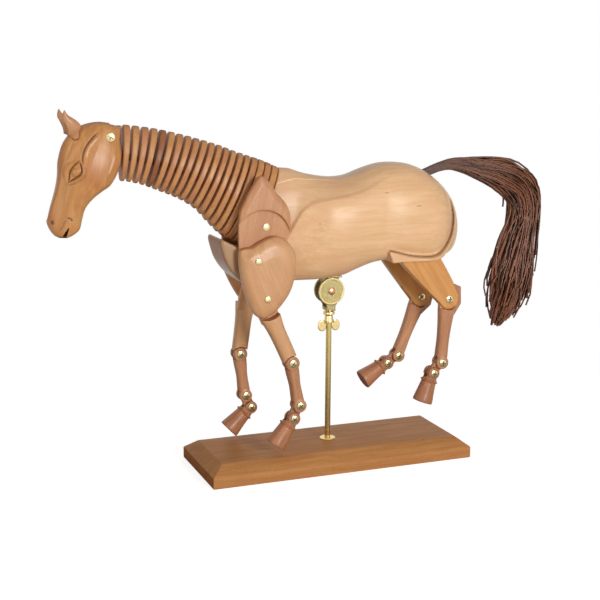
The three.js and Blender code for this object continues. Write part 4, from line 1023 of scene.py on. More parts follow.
head = {
    "tilt": 25.6, "voxel": 0.396,
    # places down the face, how far it reaches forward and back there, and half its width
    "stations": [[-10.5, 2.5, -3.5, 4.5], [-8, 10.5, -7, 8], [-3, 18.6, -8.2, 10], [3, 24.6, -11.8, 11.5],
                 [9, 28, -15.2, 12.8], [20, 30.3, -17.7, 14.6], [34, 28.2, -16.8, 14.8],
                 [43, 24.6, -11.8, 13.2], [50, 22.2, -8.4, 11.6], [59, 20.3, -6.2, 10.3],
                 [68, 19, -7.4, 9.4], [76, 17.9, -8.8, 9.2],
                 [82, 16.2, -6.2, 8.8], [86.5, 11.2, -2, 7], [88.5, 7, 2.5, 4]],
    "nod": (-26, 2),
    # carved lines: places, depth (negative stands proud) and width in millimetres
    "lines": [
        ([(27.4, 15.8), (31.0, 17.3), (35.0, 18.5), (38.8, 18.4), (42.0, 17.2), (45.8, 16.4)], 1.0, 0.42),
        ([(27.4, 15.6), (30.5, 12.6), (33.6, 10.9), (37.0, 10.9), (41.0, 13.2), (45.6, 16.2)], 1.0, 0.42),
        ([(26.8, 17.5), (31.5, 19.7), (36.0, 20.9), (40.5, 20.3), (45.2, 18.4)], -0.55, 0.8),
        ([(26.8, 13.7), (31.0, 10.2), (35.0, 8.9), (39.5, 9.9), (44.0, 13.2), (47.2, 16.6)], -0.65, 0.8),
        ([(29.0, 10.5), (33.0, 7.3), (38.0, 6.9), (43.5, 10.0), (48.2, 15.5)], 0.28, 0.5),
        ([(30.5, 21.6), (35.0, 23.0), (40.0, 22.4), (44.0, 20.4)], 0.2, 0.6),
        ([(1.1, 11.3), (6.3, 13.0), (12.9, 15.0), (18.7, 15.3), (23.2, 14.5), (28.0, 12.3)], 0.9, 0.5),
        ([(2.1, 9.3), (7.3, 11.2), (13.1, 13.1), (18.7, 13.4), (23.2, 12.5)], -0.35, 0.9),
        ([(14.6, 24.8), (22.2, 24.7), (28.8, 24.3)], 0.4, 0.8),
        ([(28.3, 25.7), (41.2, 22.3), (52.4, 20.1), (63.7, 18.3), (73.6, 17.5)], -0.55, 1.5),
        ([(32.3, 22.5), (41.2, 19.5), (52.4, 16.9), (63.7, 15.1), (71.6, 14.7)], 0.45, 2.0),
        ([(10.1, -8.7), (15.8, -9.7), (22.2, -10.3), (29.3, -10.1)], -0.35, 1.0),
        ([(39.3, -4.2), (44.7, -3.3), (49.0, -1.7), (54.9, 0.8)], 0.3, 1.8),
        ([(71.8, 5.3), (70.9, 3.1), (71.9, 0.5)], 0.8, 0.5),
        ([(72.9, 4.9), (75.7, 5.8), (79.6, 5.8), (83.0, 6.3)], 0.45, 0.5),
        ([(73.4, 2.9), (74.2, 0.5)], -0.4, 0.9)],
    "eye": (36.2, 14.7), "eyeSize": (3.5, 3.0), "eyeRise": 1.4,
    "socket": (36.0, 15.1), "socketSize": (9.0, 4.6), "socketDepth": 0.75,
    "nostril": (79.6, 14.2), "nostrilSize": 1.35, "nostrilDepth": 1.1,
    "mouth": [(75.6, 0.9), (93.0, 3.2), (93.0, -1.6)],
    "pollRadius": 8.2, "pollTongue": 8.8, "cheek": 9.6, "screw": 3.3,
}
poll = jointAt["head_nod"]


def facingSideways(normals):
    return np.clip((np.abs(normals[:, 1]) - 0.12) / 0.25, 0, 1)


def blockOutline():
    # the head block in side view, from the poll screw's axis
    gap = gaps[0]
    normal, up = neckNormal(gap["lean"]), neckUp(gap["lean"])
    at = np.array([poll[0], poll[2] - rivetZ])
    heights = (-5, neck["crest"][0][1] * neck["halfRoot"] - 1)
    rear = [tuple(gap["point"] - normal * gap["size"] / 2 + up * h - at) for h in heights]
    return rear + arc(0, 0, head["pollRadius"], 80, 250, 24)


def carve(places, normals, flat, rows):
    # presses lines into a surface along its normals, or raises them, and gives each point the painted shade of
    # the narrow pressed lines
    shade = np.zeros(len(places))
    for route, depth, width in rows:
        away, _, share = awayFrom(flat, smoothRoute(route))
        taper = (0.35 + 0.65 * fadeEnds(share, 0.12, 0.12)) * facingSideways(normals)
        places -= normals * (1.3 * depth * taper * np.exp(-(away / (width * 1.25)) ** 2))[:, None]
        # painted shade in the narrow pressed lines
        if depth > 0 and width < 0.8:
            dark = min(depth * 1.1, 1) * taper * np.exp(-(away / (width * 0.8 + 0.1)) ** 2)
            shade = np.maximum(shade, dark)
    return shade


def makeHead():
    rows = np.asarray(head["stations"])
    front, rear, half = (line(list(zip(rows[:, 0], rows[:, k]))) for k in (1, 2, 3))
    angles = fullTurn(88)
    narrow = 1 - 0.22 * np.maximum(0, np.cos(angles))
    rings = []
    for down in np.linspace(rows[0, 0], rows[-1, 0], 120):
        middle, reach = (front(down) + rear(down)) / 2, (front(down) - rear(down)) / 2
        full = np.where(np.cos(angles) > 0, 2.2, 3.4)
        rings.append(np.column_stack([-(middle + reach * bend(np.cos(angles), full)),
                                      half(down) * narrow * bend(np.sin(angles), full),
                                      np.full(len(angles), -down)]))
    body = skin(rings, "headWood")
    foot, top = blockOutline()[:2]
    least, most = head["tilt"] - head["nod"][1], head["tilt"] - head["nod"][0]

    def corner(p, turn):
        angle = math.atan2(p[1], p[0]) + math.radians(turn)
        reach = math.hypot(*p) + 0.8
        return (reach * math.cos(angle), reach * math.sin(angle))
    room = [corner(foot, least), (40, -20), (40, 30), *(corner(top, t) for t in np.linspace(least, most, 7)),
            *arc(0, 0, head["pollRadius"] + 0.4, 80 + most, 250 + least, 20)]
    slotHalf = head["pollTongue"] / 2 + 0.3
    mouth = [(-f, -d) for d, f in head["mouth"]]
    cut(body, board(room, -slotHalf, slotHalf), board(mouth, -20, -2), board(mouth, 2, 20),
        drum(head["screw"] + 0.15, -20, -head["cheek"] + 0.9), earShape(1, 0.3), earShape(-1, 0.3))
    sand(body, head["voxel"], 5)
    places, normals = pointsOf(body)
    flat = np.column_stack([-places[:, 2], -places[:, 0]])
    onSide = facingSideways(normals)

    def oval(centre, size):
        return np.hypot((flat[:, 0] - centre[0]) / size[0], (flat[:, 1] - centre[1]) / size[1])
    socket = np.exp(-oval(head["socket"], head["socketSize"]) ** 4) * head["socketDepth"]
    ball = np.sqrt(np.clip(1 - oval(head["eye"], head["eyeSize"]) ** 2, 0, 1)) * head["eyeRise"]
    pit = oval(head["nostril"], (head["nostrilSize"],) * 2)
    nostril = head["nostrilDepth"] * (np.exp(-pit ** 2) - 0.45 * np.exp(-((pit - 1.7) / 0.6) ** 2))
    places -= normals * ((socket - ball + nostril) * onSide)[:, None]
    shade = carve(places, normals, flat, head["lines"])
    # painted shade in the nostrils and, below, on the wall inside the mouth's notch
    shade = np.maximum(shade, onSide * np.exp(-(pit / 0.95) ** 2))
    deep = flat[:, 0] - head["mouth"][0][0]
    paintedMouthShade = (deep > 0.6) & (np.abs(flat[:, 1] - 0.9 + 0.006 * deep) < 0.14 * deep + 0.25)
    shade = np.maximum(shade, 0.95 * (paintedMouthShade & (np.abs(places[:, 1]) < 8.2 - 0.3 * np.maximum(deep - 8, 0))))
    keepShade(body, shade)
    setPoints(body, places)
    hang(body, (poll[0], poll[2]), -head["tilt"])
    grain = woodMaterial("headMaple", "headMaple", -90 - head["tilt"] + 12, 4.1, paintedShade=0.95)
    dress(body, "head", grain, ["head"], "maple")


# ears: pointed leaves with a hollow at the front

ears = {
    "length": 20.0, "out": 7.5, "place": (-26.6, -8.6), "lean": 50, "splay": 13, "sides": 36,
    # shares of the length, half the breadth, half the thickness and the shift forward
    "leaf": [[-0.25, 2.6, 1.7, 0], [-0.02, 4.2, 2.3, 0], [0.06, 5.8, 2.9, 0.2], [0.18, 6.5, 3.3, 0.4],
             [0.35, 5.9, 3.3, 0.1], [0.52, 4.7, 2.9, -0.5], [0.68, 3.2, 2.2, -1.2], [0.82, 2.0, 1.5, -1.3],
             [0.93, 1.1, 0.9, -0.7], [1.0, 0.3, 0.3, 0]],
    "hollow": 3.1, "hollowStretch": 8.0, "hollowPlace": (-5.9, 0, 9.4), "hollowLean": 8,
}


def earShape(side, grow=0.0):
    leaf = ears["leaf"]
    broad, thick, shift = (line([(row[0], row[k]) for row in leaf]) for k in (1, 2, 3))
    rings = []
    for share in np.linspace(leaf[0][0] - grow * 0.1, 1, 46 if grow == 0 else 24):
        along = share * (ears["length"] + grow)
        b, h, ahead = broad(share) + grow, thick(share) + grow, shift(share)
        rings.append([(b * math.cos(t) + ahead, h * math.sin(t), along) for t in fullTurn(ears["sides"])])
    made = skin(rings, "ear")
    if grow == 0:
        hollow = turnedSolid([(ears["hollow"] * math.sin(t), -ears["hollowStretch"] * math.cos(t))
                              for t in np.linspace(0.02, 3.12, 20)], "Z", 32)
        hollow.data.transform(Matrix.Rotation(-math.radians(ears["hollowLean"]), 4, "Y"))
        cut(made, moved(hollow, *ears["hollowPlace"]))
        sand(made, 0.28, 4)
    made.data.transform(Matrix.Rotation(-side * math.radians(ears["splay"]), 4, "X"))
    made.data.transform(Matrix.Rotation(-math.radians(ears["lean"]), 4, "Y"))
    return moved(made, ears["place"][0], side * ears["out"], ears["place"][1])


def makeEars():
    for side, name in ((-1, "left"), (1, "right")):
        made = hang(earShape(side), (poll[0], poll[2]), -head["tilt"])
        made.name = name + "EarWood"
        grain = woodMaterial(name + "EarTan", "tan", 150, side * 2.7)
        dress(made, "head", grain, [name + "_ear"], "tan_wood")


def makeHeadBlock():
    half = head["pollTongue"] / 2
    body = board(blockOutline(), -half, half, 0.7, "neckHeadBlockWood")
    sand(body, 0.4, 3)
    grain = woodMaterial("blockMaple", "blockDark", 70, 6.2)
    dress(moved(body, poll[0], 0, poll[2]), "neck_head_block", grain, ["neck_head_block"], "maple")


makeHead()
makeEars()
makeHeadBlock()
print("head")

# neck plates: one tree makes each slice from its two gaps


def platesTree():
    # a grid is wrapped round the core as a slice: u goes round it, v from the hole's front end over the
    # front face, the rim and the back face, and through the hole again
    tree, given, result = newGroup("neckPlateTree", "GeometryNodeTree", {
        "Vector": ["Front Centre", "Front Up", "Back Centre", "Back Up"],
        "Float": ["Front Half Height", "Front Lift", "Front Half Width", "Back Half Height", "Back Lift",
                  "Back Half Width", "Thickness", "Edge Round", "Hole Radius", "Wander", "Seed"],
        "Material": ["Wood"]}, {"Geometry": ["Geometry"]})
    grid = value(tree, "GeometryNodeMeshGrid", {
        "Size X": 1.0, "Size Y": 1.0, "Vertices X": 121, "Vertices Y": 41})
    where = node(tree, "ShaderNodeSeparateXYZ", {0: value(tree, "GeometryNodeInputPosition")})
    u, v = (Value(where.outputs[k]) + 0.5 for k in (0, 1))
    turn = u * (2 * math.pi)
    sine, cosine = calc("SINE", turn), calc("COSINE", turn)

    def part(low, high, top=1.0):
        return value(tree, "ShaderNodeMapRange", {0: v, 1: low, 2: high, 4: top})
    radial = part(0.0, 0.2) - part(0.8, 0.92)
    first, second = part(0.2, 0.38, math.pi / 2), part(0.62, 0.8, math.pi / 2)
    edge, thickness = given["Edge Round"], given["Thickness"]
    inset = edge * (2.0 - calc("SINE", first) - calc("COSINE", second))
    along = edge * (1.0 + calc("SINE", second) - calc("COSINE", first))
    along = along + (thickness - edge * 2.0) * part(0.38, 0.62)
    share = along / thickness * (1.0 - part(0.92, 1.0))

    def full(wave, power):
        return calc("POWER", calc("ABSOLUTE", wave), 2 / power) * calc("SIGN", wave)

    def mixed(word):
        # a size that changes from the front face's to the back face's
        return value(tree, "ShaderNodeMix", {0: share, 2: given["Front " + word], 3: given["Back " + word]})

    def mixedPlace(word):
        ends = {0: share, 4: given["Front " + word], 5: given["Back " + word]}
        return value(tree, "ShaderNodeMix", ends, 1, data_type="VECTOR")
    uneven = noise(vectorOf(x=cosine, y=sine, z=given["Seed"]), 1.7, 2.0)
    inset = inset + (uneven - 0.5) * given["Wander"]
    crest = 1.0 - calc("MAXIMUM", sine, 0.0) * 0.18
    tall = (mixed("Half Height") - inset) * full(sine, 2.1) + mixed("Lift")
    wide = (mixed("Half Width") - inset) * crest * full(cosine, 2.2)

    def outward(rim, wave):
        return value(tree, "ShaderNodeMix", {0: radial, 2: given["Hole Radius"] * wave, 3: rim})
    place = mixedPlace("Centre") + mixedPlace("Up") * outward(tall, sine) + vectorOf(y=outward(wide, cosine))
    shaped = value(tree, "GeometryNodeSetPosition", {"Geometry": grid, "Position": place})
    closed = value(tree, "GeometryNodeMergeByDistance", {"Geometry": shaped, "Distance": 0.004})
    fill(result, {0: value(tree, "GeometryNodeSetMaterial", {"Geometry": closed, "Material": given["Wood"]})})
    return tree


def grow(name, tree, values, start=None):
    # runs a tree with its named inputs on an object, new or given, and keeps the result as plain mesh
    made = start or build(name, [], [])
    made.name = name
    run = made.modifiers.new("grow", "NODES")
    run.node_group = tree
    sockets = {s.name: s.identifier for s in tree.interface.items_tree if s.in_out == "INPUT"}
    for key, value in values.items():
        run[sockets[key]] = value
    return settle(made)


def outwards(thing):
    # turns a closed mesh's faces outwards if they point in
    places, _ = pointsOf(thing)
    thing.data.calc_loop_triangles()
    tris = np.array([t.vertices for t in thing.data.loop_triangles])
    a, b, c = (places[tris[:, k]] for k in range(3))
    if np.sum(a * np.cross(b, c)) < 0:
        thing.data.flip_normals()
    return thing


def makePlates():
    tree = platesTree()
    for k in range(1, neck["count"] + 1):
        name = "neckPlate%02d" % k
        kind = "blockDark" if k == 5 else ("platePale", "platePink")[k % 2]
        grain = woodMaterial(name + "Wood", kind, 90 - leanAt(k), k * 1.7)
        relief = neck["relief"] * (1 if k < 17 else 0.3)  # the plates' bevelled edges show as wider gaps
        values = {"Thickness": neck["pitch"] - (gaps[k - 1]["size"] + gaps[k]["size"]) / 2 - 2 * relief,
                  "Edge Round": neck["round"], "Hole Radius": neck["hole"], "Seed": k * 2.9,
                  "Wander": 0.7, "Wood": grain}
        for word, at, way in (("Front", k - 1, 1), ("Back", k, -1)):
            lean = gaps[at]["lean"]
            centre = gaps[at]["point"] + neckNormal(lean) * way * (gaps[at]["size"] / 2 + relief)
            up = neckUp(lean)
            values[word + " Centre"] = (centre[0], 0.0, centre[1] + rivetZ)
            values[word + " Up"] = (up[0], 0.0, up[1])
            values[word + " Half Height"], values[word + " Lift"] = plateHeights(at)
            values[word + " Half Width"] = float(halfWidth(at))
        made = outwards(grow(name, tree, values))
        slot = "plate_pink" if k % 2 == 0 else "plate_honey"
        dress(made, "neck_plate_%02d" % k, grain, ["neck_plate_%02d" % k], slot)


makePlates()
print("neck plates")

# legs, each made for the side that faces +Y and mirrored for the other

legs = {
    "voxel": 0.52, "foreInner": 19.8, "lap": 4.2, "armInner": 24.3, "armThick": 10.7, "foreThick": 13.0,
    "forearm": 61.7, "foreCannon": 38.2, "knee": 6.2, "fetlock": 5.8, "coffin": 5.6, "link": 12.4,
    "linkRadius": 4.4, "linkThick": 4.4, "slot": 2.5, "hindY": 19.0, "thighThick": 9.0, "thigh": 70.0,
    "hock": 9.3, "hindThick": 11.6, "hindCannon": 57.6, "armDrop": 32.9, "armLean": 14.1,
}
sides = ((-1, "left"), (1, "right"))
pose = table(("shoulder", "elbow", "knee", "fore_fetlock", "fore_coffin", "hip", "hock", "hind_fetlock",
              "hind_coffin"), {  # degrees from straight down, towards the tail
    "left": (14.1, 22.4, 10.6, -25.3, -35.0, 32.8, -5.4, -42.2, -19.5),
    "right": (24.6, -9.9, 7.3, 23.9, -46.7, 25.2, -22.3, -60.2, -59.4),
})
foreMid = legs["foreInner"] + legs["foreThick"] / 2
lapOuter = legs["foreInner"] + legs["lap"]
armOuter = legs["armInner"] + legs["armThick"]
clearance = 0.4  # round a knuckle that turns in its neighbour
armFaces = []  # where the arm's outer face lies at the shoulder's pin and at the elbow's


def place(thing, side, joint, name, kind, slot, offset, lean):
    # brings a leg piece to its pivot, in its pose, and gives it its wood
    word = sides[side > 0][1]
    degrees = pose[word].get(joint, 0)
    moved(thing, 0, offset, 0)
    if side < 0:
        flipped(thing)
    at = jointAt[word + "_" + joint]
    hang(thing, (at[0], at[2]), degrees)
    thing.name = "".join([word] + [w.capitalize() for w in name.split("_")])
    seed = len(name) * 1.7 + side * 2.3
    grain = woodMaterial(thing.name + "Wood", kind, -90 + degrees + lean, seed)
    dress(thing, word + "_" + name, grain, [word + "_" + name], slot)


bladeShape = {
    "outline": [(-4, 42), (3.5, 36), (8, 28.5), (14.1, 22.5), (19.3, 14.5), (21, 6), (20, -8), (12, -19),
                (1.5, -29), (-10.3, -38.5), (-21, -31), (-23.3, -16), (-23, 10), (-19.3, 20.3),
                (-14.5, 29.2), (-8.5, 38.5)],
    "thick": 7.7, "hollow": (-3.3, -10), "hollowRadius": 24.4,
}
armShape = {
    "outline": [(-2.9, 11.5), (4, 15.5), (15.5, 19.4), (27.2, 14.7), (34.9, 1.6), (34.1, -14.5),
                (29.2, -29.4), (17.2, -44), (7, -49), (-2.5, -43.5), (-9.5, -27.2), (-13.8, -8),
                (-14.4, 7.5), (-10, 10.5)],
    "middle": (10, -14), "end": 18.2, "scoop": (-9.5, 19), "scoopRadius": 22.0, "scoopRise": 15.5,
}


def shoulderBlade():
    inner, outer = legs["foreInner"], legs["foreInner"] + bladeShape["thick"]
    sizes = line([(inner, 0.97), (inner + 0.8, 1), (outer - 3, 1), (outer - 1.2, 0.94), (outer, 0.8)])
    layers = [(y, sizes(y)) for y in np.linspace(inner, outer, 22)]
    body = crowned(closedOutline(bladeShape["outline"], 150), (-2, 4), layers, "blade")
    x, z = bladeShape["hollow"]
    radius = bladeShape["hollowRadius"]
    hollow = [*arc(x, z, radius, 0, 180, 48), (x - radius, -60), (x + radius, -60)]
    cut(body, board(hollow, lapOuter, outer + 5))
    return sand(body, legs["voxel"], 3)


def upperArm():
    inner = legs["armInner"]
    sizes = line([(inner, 0.96), (inner + 0.9, 1), (inner + 3.6, 1), (inner + 7, 0.93), (armOuter - 1, 0.77),
                  (armOuter, 0.5)])
    layers = [(y, sizes(y)) for y in np.linspace(inner, armOuter, 30)]
    lean = -legs["armLean"]
    middle = turnedPoints([armShape["middle"]], lean)[0]
    body = crowned(turnedPoints(closedOutline(armShape["outline"], 150), lean), middle, layers, "arm")
    x, z = armShape["scoop"]
    cut(body, moved(ball(armShape["scoopRadius"], 40, 64), x, armOuter + armShape["scoopRise"], z))
    sand(body, 0.5, 5)
    armFaces[:] = [faceAt(body, 0, 0), faceAt(body, 0, -legs["armDrop"])]
    return body


def linkTongue(start, to):
    r = legs["linkRadius"]
    half = legs["linkThick"] / 2
    return board([*arc(0, to, r, 180, 360, 20), (r, start), (-r, start)], -half, half)


def forkSlot(z, up):
    h = legs["slot"]
    return box(-20, 20, -h, h, z - 5 if up else z - 20, z + 20 if up else z + 5)


def forearm():
    half, length = legs["foreThick"] / 2, legs["forearm"]
    body = limb([[2, -1.5, 9, half], [16, -1.5, 8.8, half], [30, -1.1, 7.2, half], [44, -0.4, 6.8, half],
                 [57, 0, 6.7, half - 0.2], [length + 2, 0, 6.5, half - 0.4]])
    cove = drum(armShape["end"] + clearance, lapOuter - foreMid, 20, 96)
    knee = board(sweptBelow(legs["knee"] + clearance, -28, 60, -length), -20, 20)
    lap = board([*arc(0, 0, 9, 0, 180, 36), (-10.2, -8), (-9.6, -22), (6.6, -22)],
                legs["foreInner"] - foreMid, lapOuter - foreMid)
    cut(body, cove, knee)
    join(body, lap, linkTongue(-length + 14, -length))
    return sand(body, legs["voxel"], 4)


def foreCannon():
    half, length = legs["foreThick"] / 2 - 0.3, legs["foreCannon"]
    knee, fetlock = legs["knee"], legs["fetlock"]
    body = limb([[0, 0, knee - 0.2, half - 0.5], [9, 0, 5.6, half - 0.4], [20, 0, 4.7, half - 0.7],
                 [30, 0, 5.1, half - 0.5], [length, 0, fetlock - 0.2, half - 0.5]])
    join(body, knuckle(knee, half), knuckle(fetlock, half, -length))
    cut(body, forkSlot(0, True), forkSlot(-length, False))
    return sand(body, legs["voxel"], 4)


def pastern():
    r, half = legs["linkRadius"], legs["linkThick"] / 2
    outline = [*arc(0, 0, r, 0, 180, 20), *arc(0, -legs["link"], r, 180, 360, 20)]
    return sand(board(outline, -half, half, 0.5, "pastern"), 0.3, 3)


def hoof():
    half = legs["hindThick"] / 2
    body = limb([[0, 0, 5.4, half - 0.5], [6.2, 0.2, 6.5, half], [6.7, 0.2, 7.2, half + 1],
                 [7.1, 0.2, 8, half + 1.6], [7.7, 0.2, 8.0, half + 1.6], [8.1, 0.2, 7.2, half + 1],
                 [8.6, 0.2, 6.7, half + 0.5], [9.6, 0.2, 6.7, half + 0.6], [18.5, 0.3, 7.9, half + 1.6],
                 [26.6, 0.5, 9, half + 2.7], [27.5, 0.5, 8.6, half + 2.3]], power=2.2, steps=90)
    join(body, knuckle(legs["coffin"], half))
    cut(body, forkSlot(0, True))
    return sand(body, 0.46, 3)


def thigh():
    half, length = legs["thighThick"] / 2, legs["thigh"]
    outline = [*arc(-4, 0, 17, 60, 175, 30), (-21, -16), (-13.4, -52), (-10, -length + 4),
               *arc(0, -length, legs["hock"], 200, 345, 36), (11.2, -length + 12), (12, -34), (12.5, -6)]
    layers = [(deep - half, size) for deep, size in ((0, 0.955), (0.3, 0.975), (0.9, 0.992), (1.6, 1))]
    layers += [(-y, size) for y, size in reversed(layers)]
    body = crowned(closedOutline(outline, 220), (0, -30), layers, "thigh")
    h = legs["slot"]
    cut(body, box(-30, 30, -h, h, -length - 20, -length + 17))
    return sand(body, legs["voxel"], 4)


def hindCannon():
    half, length = legs["hindThick"] / 2, legs["hindCannon"]
    body = limb([[3, 0, 8.4, half], [12, 0, 7.4, half], [24, 0, 6.1, half - 0.3], [38, 0, 5.3, half - 0.5],
                 [50, 0, 5.5, half - 0.3], [length, 0, legs["fetlock"] - 0.2, half - 0.5]])
    cut(body, board(upended(sweptBelow(legs["hock"] + clearance, -80, 8)), -20, 20))
    tongue = [(5.8, 13.2), (11.3, 11.3), (13.3, -3.8), (7.4, -15), (-7.2, -15), *arc(0, 0, 8.6, 195, 120, 20)]
    tongueHalf = legs["linkThick"] / 2
    join(body, board(tongue, -tongueHalf, tongueHalf, 0.4), knuckle(legs["fetlock"], half, -length))
    cut(body, forkSlot(-length, False))
    return sand(body, legs["voxel"], 4)


legPieces = (
    # shape, joint, piece, wood, slot, distance from the middle plane, lean of the grain
    (shoulderBlade, "shoulder_blade_turn", "shoulder_blade", "tan", "tan_wood", 0, -12),
    (upperArm, "shoulder", "upper_arm", "arm", "tan_wood", 0, 8),
    (forearm, "elbow", "forearm", "arm", "leg_wood", foreMid, 0),
    (foreCannon, "knee", "fore_cannon", "leg", "leg_wood", foreMid, 0),
    (pastern, "fore_fetlock", "fore_pastern", "leg", "leg_wood", foreMid, 0),
    (hoof, "fore_coffin", "fore_hoof", "hoof", "leg_wood", foreMid, 0),
    (thigh, "hip", "thigh", "thigh", "leg_wood", legs["hindY"], 0),
    (hindCannon, "hock", "hind_cannon", "leg", "leg_wood", legs["hindY"], 0),
    (pastern, "hind_fetlock", "hind_pastern", "leg", "leg_wood", legs["hindY"], 0),
    (hoof, "hind_coffin", "hind_hoof", "hoof", "leg_wood", legs["hindY"], 0),
)
for side, _ in sides:
    for shape, joint, *rest in legPieces:
        place(shape(), side, joint, *rest)
print("legs")

# screws and pins: one tree puts a turned head, with or without a cross, at every marked point


def fastenerTree():
    tree, given, result = newGroup("fastenerTree", "GeometryNodeTree", {
        "Geometry": ["Geometry"], "Bool": ["Crossed"], "Material": ["Metal", "Painted Shade"],
        "Float": ["Radius", "Height", "Dome", "Cross Length", "Cross Width", "Cross Depth", "Sink", "Seat"]},
        {"Geometry": ["Geometry"]})

    def covered(shape, material):
        return value(tree, "GeometryNodeSetMaterial", {"Geometry": shape, "Material": given[material]})

    def raised(shape, z):
        return value(tree, "GeometryNodeTransform", {"Geometry": shape, "Translation": vectorOf(z=z)})
    radius, height = given["Radius"], given["Height"]
    disc = value(tree, "GeometryNodeMeshCylinder", {
        "Vertices": 36, "Side Segments": 1, "Fill Segments": 6, "Radius": radius, "Depth": height})
    at = node(tree, "ShaderNodeSeparateXYZ", {0: value(tree, "GeometryNodeInputPosition")})
    x, y, z = (Value(part) for part in at.outputs)
    share = (x * x + y * y) / (radius * radius)
    rise = given["Dome"] * (1.0 - share) * calc("GREATER_THAN", z, 0.0)
    domed = value(tree, "GeometryNodeSetPosition", {"Geometry": disc, "Offset": vectorOf(z=rise)})
    metalled = covered(domed, "Metal")

    # the cross is cut by two bars that stand half out of the head
    cross = node(tree, "GeometryNodeMeshBoolean", operation="DIFFERENCE", solver="EXACT")
    fill(cross, {"Mesh 1": metalled})
    long, broad, deep = (given["Cross " + word] for word in ("Length", "Width", "Depth"))
    for across, down in ((long, broad), (broad, long)):
        bar = value(tree, "GeometryNodeMeshCube", {"Size": vectorOf(x=across, y=down, z=deep * 2.0)})
        # the cut faces take the dark metal as painted shade in the slots of the cross
        fill(cross, {"Mesh 2": covered(raised(bar, height / 2.0 + given["Dome"]), "Painted Shade")})
    chosen = node(tree, "GeometryNodeSwitch", input_type="GEOMETRY")
    fill(chosen, {"Switch": given["Crossed"], "False": metalled, "True": Value(cross.outputs[0])})
    sunk = raised(Value(chosen.outputs[0]), height / 2.0 - given["Sink"])

    # a dark ring under the head stands for the shadow of its seat
    shadowRing = value(tree, "GeometryNodeMeshCylinder", {
        "Vertices": 36, "Side Segments": 1, "Fill Segments": 1, "Depth": 0.5,
        "Radius": radius + given["Seat"]})
    placedShadowRing = value(tree, "GeometryNodeTransform", {"Geometry": shadowRing, "Translation": (0.0, 0.0, -0.17)})
    both = node(tree, "GeometryNodeJoinGeometry")
    fill(both, {0: sunk})
    fill(both, {0: covered(placedShadowRing, "Painted Shade")})
    turn = value(tree, "GeometryNodeInputNamedAttribute", {"Name": "turn"}, data_type="FLOAT_VECTOR")
    placed = value(tree, "GeometryNodeInstanceOnPoints", {
        "Points": given["Geometry"], "Instance": Value(both.outputs[0]),
        "Rotation": value(tree, "FunctionNodeEulerToRotation", {0: turn})})
    fill(result, {0: value(tree, "GeometryNodeRealizeInstances", {0: placed})})
    return tree


fasteners = {
    "screw": {"Radius": 3.2, "Height": 1.5, "Dome": 0.5, "Cross Length": 4.4, "Cross Width": 1.05,
              "Cross Depth": 1.1, "Crossed": True, "Sink": 1.2, "Seat": 0.4},
    "pollScrew": {"Radius": 3.3, "Height": 1.6, "Dome": 0.45, "Cross Length": 4.5, "Cross Width": 1.05,
                  "Cross Depth": 1.1, "Crossed": True, "Sink": 1.5, "Seat": 0.3},
    "pin": {"Radius": 2.6, "Height": 1.8, "Dome": 0.4, "Crossed": False, "Sink": 1.25, "Seat": 0.3},
    "bladePin": {"Radius": 2.9, "Height": 1.8, "Dome": 0.4, "Crossed": False, "Sink": 1.25, "Seat": 0.3},
}
fastenerWork = fastenerTree()


def fasten(name, body, kind, spots, replaced=()):
    # spots are places in millimetres, the side they face and how far they are turned
    points = build(name, [spot[0] for spot in spots], [])
    turn = points.data.attributes.new("turn", "FLOAT_VECTOR", "POINT")
    for k, (_, side, spin) in enumerate(spots):
        turn.data[k].vector = (-math.radians(90) * side, math.radians(spin), 0)
    values = {**fasteners[kind], "Metal": metalOf["polishedBrass"], "Painted Shade": metalOf["darkSteelAndShade"]}
    dress(grow(name, fastenerWork, values, points), body, None, replaced, "brass", 40)


def legSpot(word, joint, y, z):
    # a place in millimetres at a height z of the piece that hangs from a joint
    at, a = jointAt[word + "_" + joint], math.radians(pose[word].get(joint, 0))
    return (at[0] - z * math.sin(a), y, at[2] + z * math.cos(a))


foreFace, hindFace = legs["foreThick"] / 2 - 0.3, legs["hindThick"] / 2
legScrews = (
    # name, piece, joint, depths below the joint, distance from the middle plane, half thickness
    ("KneeScrews", "fore_cannon", "knee", (0, legs["foreCannon"]), foreMid, foreFace),
    ("ForeCoffinScrews", "fore_hoof", "fore_coffin", (0,), foreMid, hindFace),
    ("HockScrews", "thigh", "hip", (legs["thigh"],), legs["hindY"], legs["thighThick"] / 2),
    ("HindFetlockScrews", "hind_cannon", "hock", (legs["hindCannon"],), legs["hindY"], hindFace),
    ("HindCoffinScrews", "hind_hoof", "hind_coffin", (0,), legs["hindY"], hindFace),
)


def makeFasteners():
    spin = random.Random(7)
    for side, word in sides:
        for name, piece, joint, depths, middle, face in legScrews:
            fasten(word + name, word + "_" + piece, "screw", [
                (legSpot(word, joint, side * middle + way * face, -depth), way, spin.uniform(0, 90))
                for depth in depths for way in (-1, 1)])
        fasten(word + "BladePin", word + "_shoulder_blade", "bladePin",
               [(legSpot(word, "shoulder_blade_turn", side * lapOuter, 0), side, 0)])
        fasten(word + "ArmPins", word + "_upper_arm", "pin", [
            (legSpot(word, "shoulder", side * face, z), side, 0)
            for face, z in zip(armFaces, (0, -legs["armDrop"]))])
    fasten("pollScrewHead", "head", "pollScrew", [((poll[0], -head["cheek"] - 0.6, poll[2]), -1, 31)],
           ["head_screw"])


makeFasteners()
print("screws and pins")

# stand: board, rod, wing nut, yoke and the bracket under the belly

